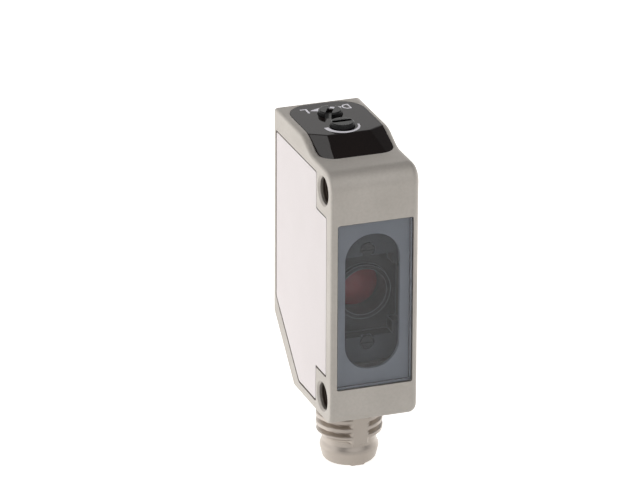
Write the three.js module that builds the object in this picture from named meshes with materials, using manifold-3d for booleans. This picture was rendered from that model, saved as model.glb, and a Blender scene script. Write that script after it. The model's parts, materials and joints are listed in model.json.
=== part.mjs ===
// Miniature photoelectric sensor (receiver) in a stainless steel case with an M8 plug.
// Millimetres. Inside the body group X runs from the label side to the mounting side, Y from the
// sensing face to the back and Z from the underside of the case to its top.
import * as THREE from "three";
import { mergeVertices } from "three/addons/utils/BufferGeometryUtils.js";
import Module from "manifold-3d";

const wasm = await Module();
wasm.setup();

// ---------------------------------------------------------------- driving dimensions

// Case
const WIDTH = 10.8;
const DEPTH = 19.5;
const HEIGHT = 32.2;
const WALL = 1.1;
const LABEL_EDGE_RADIUS = 0.5;
const MOUNT_EDGE_RADIUS = 1.0;
const BACK_EDGE_RADIUS = 0.4;
const FRONT_FOOT_RADIUS = 1.3;
const SHOULDER_RADIUS = 2.1;
const TOP_LENGTH = 9.4;
const RISER_LENGTH = 3.1;
const RISER_RADIUS = 3.4;
const LEDGE_DROP = 1.4;
const BEVEL_HEIGHT = 6.8;
const BEVEL_LENGTH = 7.0;

// M3 mounting holes, through the case along X
const HOLE_RADIUS = 1.6;
const HOLE_PITCH = 25.4;
const HOLE_FROM_FRONT = 2.8;
const HOLE_FROM_FOOT = 2.7;
const HOLE_CHAMFER = 0.35;

// Side cover and its label
const COVER_FRONT_MARGIN = 1.5;
const COVER_BACK_MARGIN = 0.7;
const COVER_TOP_MARGIN = 2.5;
const COVER_FOOT_MARGIN = 1.15;
const COVER_BEVEL_MARGIN = 2.0;
const COVER_CORNER_RADIUS = 0.35;
const NOTCH_BEHIND_HOLE = 2.1;
const NOTCH_BEYOND_HOLE = 2.8;
const COVER_THICKNESS = 0.7;
const LABEL_THICKNESS = 0.12;
const LABEL_MARGIN = 0.06;
const GROOVE = 0.16;
const COVER_SEAT = 0.7;

// Front window and mask
const WINDOW_SIDE_MARGIN = 0.8;
const WINDOW_ABOVE_LOWER_HOLE = 1.6;
const WINDOW_BELOW_UPPER_HOLE = 3.4;
const WINDOW_RECESS = 0.2;
const WINDOW_THICKNESS = 1.2;
const WINDOW_CORNER_RADIUS = 0.25;
const MASK_THICKNESS = 0.5;
const APERTURE_SIDE_MARGIN = 1.3;
const APERTURE_END_MARGIN = 1.9;
const APERTURE_CORNER_RADIUS = 3.1;
const WINDOW_SEAT = 0.75;
const CAVITY_FROM_FRONT = 2.7;

// Receiving optics
const LENS_RADIUS = 2.7;
const LENS_EDGE = 0.7;
const LENS_CROWN = 0.7;
const LENS_FROM_FRONT = 6.6;
const HOLDER_FACE = 3.1;
const HOLDER_STEP = 4.9;
const HOLDER_BACK = 9.4;
const HOLDER_END_MARGIN = 2.0;
const HOLDER_FOOT_ARC = 14;
const FLANGE_HEIGHT = 2.0;
const BARREL_WALL = 0.55;
const BARREL_PROUD = 0.5;
const RAIL_WIDTH = 1.1;
const RAIL_LENGTH = 2.6;
const STOP_RADIUS = 1.0;
const SCREW_FROM_HOLDER_END = 2.45;
const SCREW_RADIUS = 0.5;
const SCREW_HEAD_RADIUS = 0.8;
const SCREW_HEAD_HEIGHT = 0.45;
const SCREW_LENGTH = 3.2;
const PHOTODIODE_HEIGHT = 0.9;

// Boards
const BOARD_THICKNESS = 0.8;
const OPTICS_BOARD_END_MARGIN = 0.1;
const MAIN_BOARD_FROM_MOUNT_SIDE = 2.0;
const MAIN_BOARD_FRONT = 13.0;
const MAIN_BOARD_FOOT = 9.8;
const MAIN_BOARD_CUT = 1.2;
const MAIN_BOARD_CORNER_RADIUS = 0.2;
const DISPLAY_BOARD_BELOW_TOP = 4.2;
const DISPLAY_BOARD_FRONT = 6.4;
const SHIELD_HEIGHT = 8.6;
const SHIELD_WIDTH = 6.4;
const SHIELD_DEPTH = 1.9;
const SHEET_WALL = 0.25;

// Parts on the boards. A chip on the main board is placed from the board's lower front corner.
const CHIP_FOOT = 0.15;
const AMPLIFIER_WIDTH = 3.2;
const AMPLIFIER_HEIGHT = 0.9;
const CONTROL_IC = { y: 0.4, z: 8.4, depth: 4.0, length: 4.0, height: 1.1 };
const TRANSISTOR = { y: 0.5, z: 2.2, depth: 2.9, length: 1.6, height: 1.0 };
const REGULATOR = { y: 0.6, z: 5.0, depth: 3.0, length: 2.0, height: 1.2 };
const CAPACITOR_RADIUS = 1.3;
const CAPACITOR_LENGTH = 2.6;
const CAPACITOR_FROM_FRONT = 2.3;
const CAPACITOR_BELOW_TOP = 2.2;
const LED_FROM_MIDDLE = 2.2;
const LED_FROM_FRONT = 0.7;
const LED_FRAME_LENGTH = 1.6;
const LED_LENS_LENGTH = 1.0;
const LED_WIDTH = 0.8;
const LED_FRAME_HEIGHT = 0.35;
const LED_HEIGHT = 0.75;

// Display window on top
const DISPLAY_BACK_MARGIN = 0.5;
const DISPLAY_LENGTH = 13.9;
const DISPLAY_SIDE_MARGIN = 0.85;
const DISPLAY_BACK_RADIUS = 3.0;
const DISPLAY_FRONT_RADIUS = 1.9;
const DISPLAY_SEAT_DEPTH = 2.2;
const DISPLAY_SEAT = 0.8;
const DISPLAY_RIDGE_LENGTH = 5.2;
const DISPLAY_RIDGE_FROM_BACK = 10.4;
const DISPLAY_HIP_FROM_BACK = 9.3;
const DISPLAY_FOOT_LENGTH = 6.3;
const DISPLAY_FRONT_DROP = 1.5;
const GASKET_THICKNESS = 0.3;
const GASKET_WIDTH = 0.55;

// Adjusters
const KNOB_RADIUS = 1.4;
const KNOB_PROUD = 0.6;
const KNOB_CLEARANCE = 0.08;
const KNOB_SLOT_WIDTH = 0.55;
const KNOB_SLOT_LENGTH = 2.1;
const KNOB_SLOT_DEPTH = 0.6;
const KNOB_CHAMFER = 0.15;
const POINTER_SLOT_WIDTH = 0.75;
const POINTER_SLOT_DEPTH = 0.85;
const SENSITIVITY_FROM_BACK = 8.3;
const MODE_FROM_BACK = 4.2;
const MODE_REST_ANGLE = -30;
const ORING_WIDTH = 0.4;
const ORING_GAP = 0.02;
const ORING_ABOVE_FLOOR = 0.5;
const ROTOR_RADIUS = 1.2;
const ROTOR_HEIGHT = 0.7;
const ADJUSTER_BASE_WIDTH = 3.3;
const ADJUSTER_BASE_HEIGHT = 1.0;
const BLADE_LENGTH = 1.5;
const BLADE_WIDTH = 0.5;
const BLADE_HEIGHT = 0.4;

// M8 plug
const PLUG_FROM_FRONT = 8.4;
const THREAD_RADIUS = 3.9;
const THREAD_PITCH = 1.0;
const THREAD_DEPTH = 0.5;
const THREAD_RIDGES = 4;
const THREAD_CREST = 0.2;
const THREAD_FOOT = 0.9;
const RELIEF_RADIUS = 3.2;
const NOSE_RADIUS = 3.45;
const NOSE_TIP_RADIUS = 3.15;
const RELIEF_DEPTH_Z = 5.3;
const NOSE_DEPTH_Z = 6.4;
const NOSE_CHAMFER = 0.2;
const PLUG_LENGTH = 7.9;
const KEY_RIB_WIDTH = 1.65;
const RIB_BELOW_THREAD = 0.5;
const BORE_RADIUS = 2.75;
const STEM_RADIUS = 3.0;
const SEAL_SEAT_HEIGHT = 0.5;
const SEAL_WIDTH = 0.4;
const INSERT_FACE_DEPTH = 2.2;
const INSERT_RISE = 0.5;
const INSERT_KEY_WIDTH = 0.7;
const INSERT_KEY_DEPTH = 0.9;
const PIN_CIRCLE_RADIUS = 1.45;
const PIN_RADIUS = 0.4;
const PIN_TIP_BACK = 1.2;
const PIN_TIP_RADIUS = 0.22;
const PIN_TAPER = 0.35;
const PIN_RISE = 0.5;
const LOCK_RING_WALL = 0.5;
const LOCK_RING_HEIGHT = 0.8;
const LEAD_RADIUS = 0.22;
const LEAD_RISE = 0.5;
const LEAD_SPACING = 0.85;
const LEAD_FROM_BOARD_FRONT = 0.6;

// Order in which the leads reach the main board, so that no two cross.
const LEAD_COLUMNS = [1, 3, 2, 0];

// Fits
const FIT = 0.1;
const RUN = 0.05;
const CUT = 1;
const ROUND_SEGMENTS = 36;
const KNOB_SEGMENTS = 28;
const SMALL_SEGMENTS = 20;
const PIN_SEGMENTS = 12;

// ---------------------------------------------------------------- derived places

const HOLE_HEIGHTS = [HOLE_FROM_FOOT, HOLE_FROM_FOOT + HOLE_PITCH];
const MID_X = WIDTH / 2;
const COVER_RECESS = COVER_THICKNESS + LABEL_THICKNESS + 2 * RUN;
const CAVITY_LEFT = COVER_RECESS + RUN;
const CAVITY_RIGHT = WIDTH - WALL;
const WINDOW_FOOT = HOLE_HEIGHTS[0] + WINDOW_ABOVE_LOWER_HOLE;
const WINDOW_TOP = HOLE_HEIGHTS[1] - WINDOW_BELOW_UPPER_HOLE;
const LENS_HEIGHT = (WINDOW_FOOT + WINDOW_TOP) / 2;
const MASK_FRONT = WINDOW_RECESS + WINDOW_THICKNESS + RUN;
const WINDOW_POCKET = MASK_FRONT + MASK_THICKNESS + RUN;
const DISPLAY_FLOOR = HEIGHT - DISPLAY_SEAT_DEPTH;
const DISPLAY_BOARD_TOP = HEIGHT - DISPLAY_BOARD_BELOW_TOP;
const SENSITIVITY_Y = DEPTH - SENSITIVITY_FROM_BACK;
const MODE_Y = DEPTH - MODE_FROM_BACK;
const OPTICS_BOARD_FRONT = HOLDER_BACK + FIT;
const OPTICS_BOARD_BACK = OPTICS_BOARD_FRONT + BOARD_THICKNESS;
const MAIN_BOARD_X = WIDTH - MAIN_BOARD_FROM_MOUNT_SIDE - BOARD_THICKNESS;
const LOCK_RING_RADIUS = STEM_RADIUS + LOCK_RING_WALL;
const ROTOR_FLOOR = DISPLAY_BOARD_TOP + RUN + ADJUSTER_BASE_HEIGHT / 2;

// ---------------------------------------------------------------- outlines

// A closed outline whose corners { x, y, r } are rounded with true arcs.
function roundedShape(corners) {
  const shape = new THREE.Shape();
  corners.forEach((corner, i) => {
    const here = new THREE.Vector2(corner.x, corner.y);
    const before = corners[(i + corners.length - 1) % corners.length];
    const after = corners[(i + 1) % corners.length];
    const back = new THREE.Vector2(before.x, before.y).sub(here).normalize();
    const ahead = new THREE.Vector2(after.x, after.y).sub(here).normalize();
    const half = Math.acos(THREE.MathUtils.clamp(back.dot(ahead), -1, 1)) / 2;
    const reach = corner.r / Math.tan(half);
    const start = here.clone().addScaledVector(back, reach);
    const end = here.clone().addScaledVector(ahead, reach);
    if (i === 0) shape.moveTo(start.x, start.y);
    else shape.lineTo(start.x, start.y);
    if (corner.r < 0.01) return;
    const toCentre = back.clone().add(ahead).normalize();
    const centre = here.clone().addScaledVector(toCentre, corner.r / Math.sin(half));
    const clockwise = back.cross(ahead) > 0;
    shape.absarc(
      centre.x,
      centre.y,
      corner.r,
      start.clone().sub(centre).angle(),
      end.clone().sub(centre).angle(),
      clockwise,
    );
  });
  shape.closePath();
  return shape;
}

// The same corners moved inwards by a distance (outwards when it is negative), for an
// outline that runs anticlockwise. Outer corners lose radius and inner corners gain it.
function insetCorners(corners, distance) {
  const lines = corners.map((corner, i) => {
    const next = corners[(i + 1) % corners.length];
    const along = new THREE.Vector2(next.x - corner.x, next.y - corner.y).normalize();
    const inward = new THREE.Vector2(-along.y, along.x);
    return { point: new THREE.Vector2(corner.x, corner.y).addScaledVector(inward, distance), along };
  });
  return corners.map((corner, i) => {
    const a = lines[(i + lines.length - 1) % lines.length];
    const b = lines[i];
    const turn = a.along.cross(b.along);
    const step = b.point.clone().sub(a.point).cross(b.along) / turn;
    const meet = a.point.clone().addScaledVector(a.along, step);
    const radius = turn > 0 ? corner.r - distance : corner.r + distance;
    return { x: meet.x, y: meet.y, r: Math.max(radius, 0.05) };
  });
}

function rectangleCorners(x0, y0, x1, y1, r) {
  return [
    { x: x0, y: y0, r },
    { x: x1, y: y0, r },
    { x: x1, y: y1, r },
    { x: x0, y: y1, r },
  ];
}

// ---------------------------------------------------------------- solids

function solid(geometry) {
  geometry.deleteAttribute("normal");
  geometry.deleteAttribute("uv");
  const merged = mergeVertices(geometry, 1e-4);
  return new wasm.Manifold(
    new wasm.Mesh({
      numProp: 3,
      vertProperties: new Float32Array(merged.attributes.position.array),
      triVerts: new Uint32Array(merged.index.array),
    }),
  );
}

function extruded(shape, length) {
  return new THREE.ExtrudeGeometry(shape, { depth: length, bevelEnabled: false, curveSegments: 3 });
}

// A side outline (Y, Z) carried along X.
function alongX(shape, x0, x1) {
  const geometry = extruded(shape, x1 - x0);
  const turn = new THREE.Matrix4().set(0, 0, 1, x0, 1, 0, 0, 0, 0, 1, 0, 0, 0, 0, 0, 1);
  return solid(geometry.applyMatrix4(turn));
}

// A front outline (X, Z) carried along Y.
function alongY(shape, y0, y1) {
  const geometry = extruded(shape, y1 - y0);
  const turn = new THREE.Matrix4().set(1, 0, 0, 0, 0, 0, -1, y1, 0, 1, 0, 0, 0, 0, 0, 1);
  return solid(geometry.applyMatrix4(turn));
}

// A plan outline (X, Y) carried along Z.
function alongZ(shape, z0, z1) {
  return solid(extruded(shape, z1 - z0).translate(0, 0, z0));
}

function block(x0, y0, z0, x1, y1, z1) {
  const geometry = new THREE.BoxGeometry(x1 - x0, y1 - y0, z1 - z0);
  return solid(geometry.translate((x0 + x1) / 2, (y0 + y1) / 2, (z0 + z1) / 2));
}

// A profile of [radius, height] points turned about the Z axis; it runs up the outside.
function turned(profile, segments = ROUND_SEGMENTS) {
  const points = profile.map(([r, z]) => new THREE.Vector2(r, z));
  return solid(new THREE.LatheGeometry(points, segments).rotateX(Math.PI / 2));
}

function rod(radius, z0, z1, segments = ROUND_SEGMENTS) {
  return turned([[0, z0], [radius, z0], [radius, z1], [0, z1]], segments);
}

function ring(outer, inner, z0, z1, segments = ROUND_SEGMENTS) {
  return turned([[inner, z0], [outer, z0], [outer, z1], [inner, z1], [inner, z0]], segments);
}

const aimX = (part) => part.rotate([0, 90, 0]);
const aimBack = (part) => part.rotate([-90, 0, 0]);

// ---------------------------------------------------------------- materials

const finish = (color, roughness, metalness) =>
  new THREE.MeshStandardMaterial({ color, roughness, metalness });

const steel = finish("#b9b3ac", 0.45, 0.9);
const labelFilm = finish("#e9e3e3", 0.5, 0);
const tintedAcrylic = finish("#6d6f74", 0.1, 0);
const maskGrey = finish("#70737a", 0.6, 0);
const blackPlastic = finish("#2b2b2c", 0.55, 0);
const redLens = finish("#6a3a3c", 0.1, 0);
const darkWindow = finish("#201f1f", 0.15, 0);
const knobPlastic = finish("#151515", 0.35, 0);
const sealRubber = finish("#26282b", 0.8, 0);
const boardGreen = finish("#2f5a3c", 0.5, 0);
const chipEpoxy = finish("#1d1d1f", 0.6, 0);
const tinPlate = finish("#c9cbcc", 0.3, 1);
const goldPlate = finish("#cfae62", 0.3, 1);
const whiteRotor = finish("#d8d4c8", 0.5, 0);
const greenLed = finish("#7fd08a", 0.3, 0);
const orangeLed = finish("#e8963e", 0.3, 0);
const leadJackets = ["#6b4226", "#e8e6e0", "#2b5fa8", "#1c1c1c"].map((c) => finish(c, 0.5, 0));

// ---------------------------------------------------------------- body group

const sensor = new THREE.Group();
const body = new THREE.Group();
body.position.set(-WIDTH, -HOLE_FROM_FRONT, -HOLE_FROM_FOOT - HOLE_PITCH / 2);
sensor.add(body);

function add(name, part, material, group = body) {
  const mesh = part.getMesh();
  const geometry = new THREE.BufferGeometry();
  geometry.setAttribute("position", new THREE.BufferAttribute(mesh.vertProperties, 3));
  geometry.setIndex(new THREE.BufferAttribute(mesh.triVerts, 1));
  geometry.computeVertexNormals();
  const node = new THREE.Mesh(geometry, material);
  node.name = name;
  group.add(node);
}

// ---------------------------------------------------------------- case

const BEVEL_FOOT_Y = DEPTH - BEVEL_LENGTH;

// Side view of the case: flat top, a riser down to the front ledge, a round shoulder and one
// long bevel behind the plug.
const caseCorners = [
  { x: 0, y: 0, r: FRONT_FOOT_RADIUS },
  { x: BEVEL_FOOT_Y, y: 0, r: BACK_EDGE_RADIUS },
  { x: DEPTH, y: BEVEL_HEIGHT, r: BACK_EDGE_RADIUS },
  { x: DEPTH, y: HEIGHT, r: BACK_EDGE_RADIUS },
  { x: DEPTH - TOP_LENGTH, y: HEIGHT, r: RISER_RADIUS },
  { x: DEPTH - TOP_LENGTH - RISER_LENGTH, y: HEIGHT - LEDGE_DROP, r: RISER_RADIUS },
  { x: 0, y: HEIGHT - LEDGE_DROP, r: SHOULDER_RADIUS },
];

// Where the cover's bevel edge, set in from the case's bevel, crosses a level or a depth.
const bevelSlope = BEVEL_HEIGHT / BEVEL_LENGTH;
const bevelShift = COVER_BEVEL_MARGIN * Math.hypot(1, bevelSlope);
const coverBevelZ = (y) => (y - BEVEL_FOOT_Y) * bevelSlope + bevelShift;
const coverBevelY = (z) => (z - bevelShift) / bevelSlope + BEVEL_FOOT_Y;

// Side view of the cover's recess, stepped round both mounting holes.
const NOTCH_Y = HOLE_FROM_FRONT + NOTCH_BEHIND_HOLE;
const LOWER_NOTCH_Z = HOLE_HEIGHTS[0] + NOTCH_BEYOND_HOLE;
const UPPER_NOTCH_Z = HOLE_HEIGHTS[1] - NOTCH_BEYOND_HOLE;
const COVER_TOP = HEIGHT - COVER_TOP_MARGIN;
const COVER_BACK = DEPTH - COVER_BACK_MARGIN;
const recessCorners = [
  { x: NOTCH_Y, y: COVER_FOOT_MARGIN },
  { x: coverBevelY(COVER_FOOT_MARGIN), y: COVER_FOOT_MARGIN },
  { x: COVER_BACK, y: coverBevelZ(COVER_BACK) },
  { x: COVER_BACK, y: COVER_TOP },
  { x: NOTCH_Y, y: COVER_TOP },
  { x: NOTCH_Y, y: UPPER_NOTCH_Z },
  { x: COVER_FRONT_MARGIN, y: UPPER_NOTCH_Z },
  { x: COVER_FRONT_MARGIN, y: LOWER_NOTCH_Z },
  { x: NOTCH_Y, y: LOWER_NOTCH_Z },
].map((corner) => ({ ...corner, r: COVER_CORNER_RADIUS }));

// Plan view of the display window: a wide round back and a narrower front.
const displayCorners = [
  { x: DISPLAY_SIDE_MARGIN, y: DEPTH - DISPLAY_BACK_MARGIN - DISPLAY_LENGTH, r: DISPLAY_FRONT_RADIUS },
  {
    x: WIDTH - DISPLAY_SIDE_MARGIN,
    y: DEPTH - DISPLAY_BACK_MARGIN - DISPLAY_LENGTH,
    r: DISPLAY_FRONT_RADIUS,
  },
  { x: WIDTH - DISPLAY_SIDE_MARGIN, y: DEPTH - DISPLAY_BACK_MARGIN, r: DISPLAY_BACK_RADIUS },
  { x: DISPLAY_SIDE_MARGIN, y: DEPTH - DISPLAY_BACK_MARGIN, r: DISPLAY_BACK_RADIUS },
];

const windowCorners = rectangleCorners(
  WINDOW_SIDE_MARGIN,
  WINDOW_FOOT,
  WIDTH - WINDOW_SIDE_MARGIN,
  WINDOW_TOP,
  WINDOW_CORNER_RADIUS,
);

function caseOutside() {
  const side = alongX(roundedShape(caseCorners), 0, WIDTH);
  const plan = roundedShape([
    { x: 0, y: 0, r: LABEL_EDGE_RADIUS },
    { x: WIDTH, y: 0, r: MOUNT_EDGE_RADIUS },
    { x: WIDTH, y: DEPTH, r: BACK_EDGE_RADIUS },
    { x: 0, y: DEPTH, r: BACK_EDGE_RADIUS },
  ]);
  const front = roundedShape([
    { x: 0, y: 0, r: LABEL_EDGE_RADIUS },
    { x: WIDTH, y: 0, r: MOUNT_EDGE_RADIUS },
    { x: WIDTH, y: HEIGHT, r: BACK_EDGE_RADIUS },
    { x: 0, y: HEIGHT, r: BACK_EDGE_RADIUS },
  ]);
  return side.intersect(alongZ(plan, -CUT, HEIGHT + CUT)).intersect(alongY(front, -CUT, DEPTH + CUT));
}

function mountingHole(z) {
  const flare = HOLE_RADIUS + HOLE_CHAMFER + CUT;
  const profile = [
    [0, -CUT],
    [flare, -CUT],
    [HOLE_RADIUS, HOLE_CHAMFER],
    [HOLE_RADIUS, WIDTH - HOLE_CHAMFER],
    [flare, WIDTH + CUT],
    [0, WIDTH + CUT],
  ];
  return aimX(turned(profile, SMALL_SEGMENTS)).translate([0, HOLE_FROM_FRONT, z]);
}

const cavityCorners = insetCorners(recessCorners, COVER_SEAT);
cavityCorners[6].x = CAVITY_FROM_FRONT;
cavityCorners[7].x = CAVITY_FROM_FRONT;
const CAVITY_FOOT = COVER_FOOT_MARGIN + COVER_SEAT;
const CAVITY_TOP = COVER_TOP - COVER_SEAT;
const CAVITY_BACK = COVER_BACK - COVER_SEAT;

const windowOpeningCorners = insetCorners(windowCorners, WINDOW_SEAT);
const displayOpeningCorners = insetCorners(displayCorners, DISPLAY_SEAT);

function caseShell() {
  let part = caseOutside();
  part = part.subtract(alongX(roundedShape(recessCorners), -CUT, COVER_RECESS));
  part = part.subtract(alongX(roundedShape(cavityCorners), -CUT, CAVITY_RIGHT));
  part = part.subtract(alongY(roundedShape(windowCorners), -CUT, WINDOW_POCKET));
  part = part.subtract(alongY(roundedShape(windowOpeningCorners), 0, CAVITY_FROM_FRONT + FIT));
  part = part.subtract(alongZ(roundedShape(displayCorners), DISPLAY_FLOOR - GASKET_THICKNESS, HEIGHT + CUT));
  part = part.subtract(alongZ(roundedShape(displayOpeningCorners), CAVITY_TOP - FIT, HEIGHT));
  const stemHole = rod(STEM_RADIUS + RUN, -CUT, CAVITY_FOOT + CUT).translate([MID_X, PLUG_FROM_FRONT, 0]);
  part = part.subtract(stemHole);
  const ringSeat = rod(LOCK_RING_RADIUS + FIT, CAVITY_FOOT, CAVITY_FOOT + LOCK_RING_HEIGHT + CUT);
  part = part.subtract(ringSeat.translate([MID_X, PLUG_FROM_FRONT, 0]));
  for (const z of HOLE_HEIGHTS) part = part.subtract(mountingHole(z));
  return part;
}

add("case", caseShell(), steel);

// ---------------------------------------------------------------- cover and label

const coverCorners = insetCorners(recessCorners, GROOVE);
const COVER_INNER_X = COVER_RECESS - RUN;
const LABEL_BACK_X = COVER_INNER_X - COVER_THICKNESS - RUN / 2;

add(
  "side_cover",
  alongX(roundedShape(coverCorners), COVER_INNER_X - COVER_THICKNESS, COVER_INNER_X),
  steel,
);
add(
  "side_label",
  alongX(
    roundedShape(insetCorners(coverCorners, LABEL_MARGIN)),
    LABEL_BACK_X - LABEL_THICKNESS,
    LABEL_BACK_X,
  ),
  labelFilm,
);

// ---------------------------------------------------------------- window, mask and optics

const apertureCorners = rectangleCorners(
  WINDOW_SIDE_MARGIN + APERTURE_SIDE_MARGIN,
  WINDOW_FOOT + APERTURE_END_MARGIN,
  WIDTH - WINDOW_SIDE_MARGIN - APERTURE_SIDE_MARGIN,
  WINDOW_TOP - APERTURE_END_MARGIN,
  APERTURE_CORNER_RADIUS,
);
const windowFitShape = () => roundedShape(insetCorners(windowCorners, FIT));

add(
  "front_window",
  alongY(windowFitShape(), WINDOW_RECESS, WINDOW_RECESS + WINDOW_THICKNESS),
  tintedAcrylic,
);
add(
  "window_mask",
  alongY(windowFitShape(), MASK_FRONT, MASK_FRONT + MASK_THICKNESS).subtract(
    alongY(roundedShape(apertureCorners), 0, WINDOW_POCKET + CUT),
  ),
  maskGrey,
);

const HOLDER_LEFT = CAVITY_LEFT + FIT;
const HOLDER_RIGHT = CAVITY_RIGHT - FIT;
const HOLDER_FOOT = WINDOW_FOOT + HOLDER_END_MARGIN;
const HOLDER_TOP = WINDOW_TOP - HOLDER_END_MARGIN;
const BARREL_RADIUS = LENS_RADIUS + FIT;
const SCREW_HEIGHTS = [HOLDER_FOOT + SCREW_FROM_HOLDER_END, HOLDER_TOP - SCREW_FROM_HOLDER_END];

// A cylinder about the optical axis, from y0 back to y1.
function axisRod(radius, y0, y1, x = MID_X, z = LENS_HEIGHT, segments = ROUND_SEGMENTS) {
  return aimBack(rod(radius, y0, y1, segments)).translate([x, 0, z]);
}

function holderFlange(side) {
  const outer = side > 0 ? HOLDER_TOP : HOLDER_FOOT;
  const flange = block(
    HOLDER_LEFT,
    HOLDER_FACE,
    Math.min(outer, outer - side * FLANGE_HEIGHT * 1.6),
    HOLDER_RIGHT,
    HOLDER_STEP + FIT,
    Math.max(outer, outer - side * FLANGE_HEIGHT * 1.6),
  );
  const rails = [HOLDER_LEFT, HOLDER_RIGHT - RAIL_WIDTH].map((x) => {
    const inner = outer - side * (FLANGE_HEIGHT + RAIL_LENGTH);
    const z0 = Math.min(outer, inner);
    return block(x, HOLDER_FACE, z0, x + RAIL_WIDTH, HOLDER_STEP + FIT, z0 + Math.abs(outer - inner));
  });
  return flange.add(rails[0]).add(rails[1]);
}

function opticsHolder() {
  let part = block(HOLDER_LEFT, HOLDER_STEP, HOLDER_FOOT, HOLDER_RIGHT, HOLDER_BACK, HOLDER_TOP);
  part = part.add(holderFlange(1)).add(holderFlange(-1));
  part = part.add(axisRod(BARREL_RADIUS + BARREL_WALL, HOLDER_STEP - BARREL_PROUD, HOLDER_STEP + CUT));
  part = part.subtract(axisRod(BARREL_RADIUS, HOLDER_FACE, LENS_FROM_FRONT + LENS_EDGE + LENS_CROWN + FIT));
  part = part.subtract(axisRod(STOP_RADIUS, HOLDER_FACE, HOLDER_BACK + CUT));
  const arcCentre = HOLDER_FOOT + HOLDER_FOOT_ARC;
  const below = block(0, 0, HOLDER_FOOT - CUT, WIDTH, HOLDER_STEP, LENS_HEIGHT);
  part = part.subtract(below.subtract(axisRod(HOLDER_FOOT_ARC, -CUT, HOLDER_BACK, MID_X, arcCentre)));
  for (const z of SCREW_HEIGHTS) {
    part = part.subtract(axisRod(SCREW_RADIUS + RUN, 0, HOLDER_BACK - CUT, MID_X, z, SMALL_SEGMENTS));
    const headSeat = HOLDER_FACE + SCREW_HEAD_HEIGHT + FIT;
    part = part.subtract(axisRod(SCREW_HEAD_RADIUS + FIT, 0, headSeat, MID_X, z, SMALL_SEGMENTS));
  }
  return part;
}

add("optics_holder", opticsHolder(), blackPlastic);

function receiverLens() {
  const back = LENS_FROM_FRONT + LENS_CROWN + LENS_EDGE;
  const front = LENS_FROM_FRONT + LENS_CROWN;
  const steps = 6;
  const profile = [[0, LENS_FROM_FRONT]];
  for (let i = 1; i <= steps; i++) {
    const r = (LENS_RADIUS * i) / steps;
    profile.push([r, LENS_FROM_FRONT + LENS_CROWN * (r / LENS_RADIUS) ** 2]);
  }
  profile.push([LENS_RADIUS, front + LENS_EDGE], [0, back]);
  return aimBack(turned(profile)).translate([MID_X, 0, LENS_HEIGHT]);
}

add("receiver_lens", receiverLens(), redLens);

function holderScrew(z) {
  const headBack = HOLDER_FACE + SCREW_HEAD_HEIGHT;
  const profile = [
    [0, HOLDER_FACE],
    [SCREW_HEAD_RADIUS, HOLDER_FACE],
    [SCREW_HEAD_RADIUS, headBack],
    [SCREW_RADIUS, headBack],
    [SCREW_RADIUS, HOLDER_FACE + SCREW_LENGTH],
    [0, HOLDER_FACE + SCREW_LENGTH + SCREW_RADIUS],
  ];
  const screw = aimBack(turned(profile, SMALL_SEGMENTS)).translate([MID_X, 0, z]);
  const slot = SCREW_HEAD_HEIGHT / 2;
  const drive = block(
    MID_X - SCREW_HEAD_RADIUS,
    HOLDER_FACE - CUT,
    z - SCREW_RADIUS / 4,
    MID_X + SCREW_HEAD_RADIUS,
    HOLDER_FACE + slot,
    z + SCREW_RADIUS / 4,
  );
  return screw.subtract(drive);
}

add("holder_screw_lower", holderScrew(SCREW_HEIGHTS[0]), tinPlate);
add("holder_screw_upper", holderScrew(SCREW_HEIGHTS[1]), tinPlate);

// ---------------------------------------------------------------- boards

// A surface mounted part: a moulded body on two rows of short feet, drawn as one piece.
function chip(x0, y0, z0, x1, y1, z1, normal) {
  const low = [x0, y0, z0];
  const high = [x1, y1, z1];
  const whole = block(x0, y0, z0, x1, y1, z1);
  const shrink = [CHIP_FOOT * 2, CHIP_FOOT * 2, CHIP_FOOT * 2];
  shrink[normal] = 0;
  const lid = block(
    ...low.map((v, i) => v + shrink[i]),
    ...high.map((v, i) => v - shrink[i]),
  );
  const half = (low[normal] + high[normal]) / 2;
  const cutLow = low.map((v) => v - CUT);
  const cutHigh = high.map((v) => v + CUT);
  cutHigh[normal] = half;
  return whole.intersect(block(...cutLow, ...cutHigh)).add(lid);
}

add(
  "optics_board",
  block(
    HOLDER_LEFT,
    OPTICS_BOARD_FRONT,
    HOLDER_FOOT + OPTICS_BOARD_END_MARGIN,
    HOLDER_RIGHT,
    OPTICS_BOARD_BACK,
    HOLDER_TOP - OPTICS_BOARD_END_MARGIN,
  ),
  boardGreen,
);

// The photodiode stands on the optics board and looks through the stop behind the lens.
add(
  "photodiode",
  axisRod(STOP_RADIUS - FIT, HOLDER_BACK - PHOTODIODE_HEIGHT, OPTICS_BOARD_FRONT - RUN),
  chipEpoxy,
);

function shieldCan() {
  const x0 = MID_X - SHIELD_WIDTH / 2;
  const z0 = LENS_HEIGHT - SHIELD_HEIGHT / 2;
  const y0 = OPTICS_BOARD_BACK + RUN;
  const t = SHEET_WALL;
  const can = block(x0, y0, z0, x0 + SHIELD_WIDTH, y0 + SHIELD_DEPTH, z0 + SHIELD_HEIGHT);
  const inside = block(
    x0 + t,
    y0 - CUT,
    z0 + t,
    x0 + SHIELD_WIDTH - t,
    y0 + SHIELD_DEPTH - t,
    z0 + SHIELD_HEIGHT - t,
  );
  return can.subtract(inside);
}

add("shield_can", shieldCan(), tinPlate);

const AMPLIFIER_Y = OPTICS_BOARD_BACK + RUN;
const AMPLIFIER_HALF = AMPLIFIER_WIDTH / 2;
add(
  "amplifier_ic",
  chip(
    MID_X - AMPLIFIER_HALF,
    AMPLIFIER_Y,
    LENS_HEIGHT - AMPLIFIER_HALF,
    MID_X + AMPLIFIER_HALF,
    AMPLIFIER_Y + AMPLIFIER_HEIGHT,
    LENS_HEIGHT + AMPLIFIER_HALF,
    1,
  ),
  chipEpoxy,
);

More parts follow.
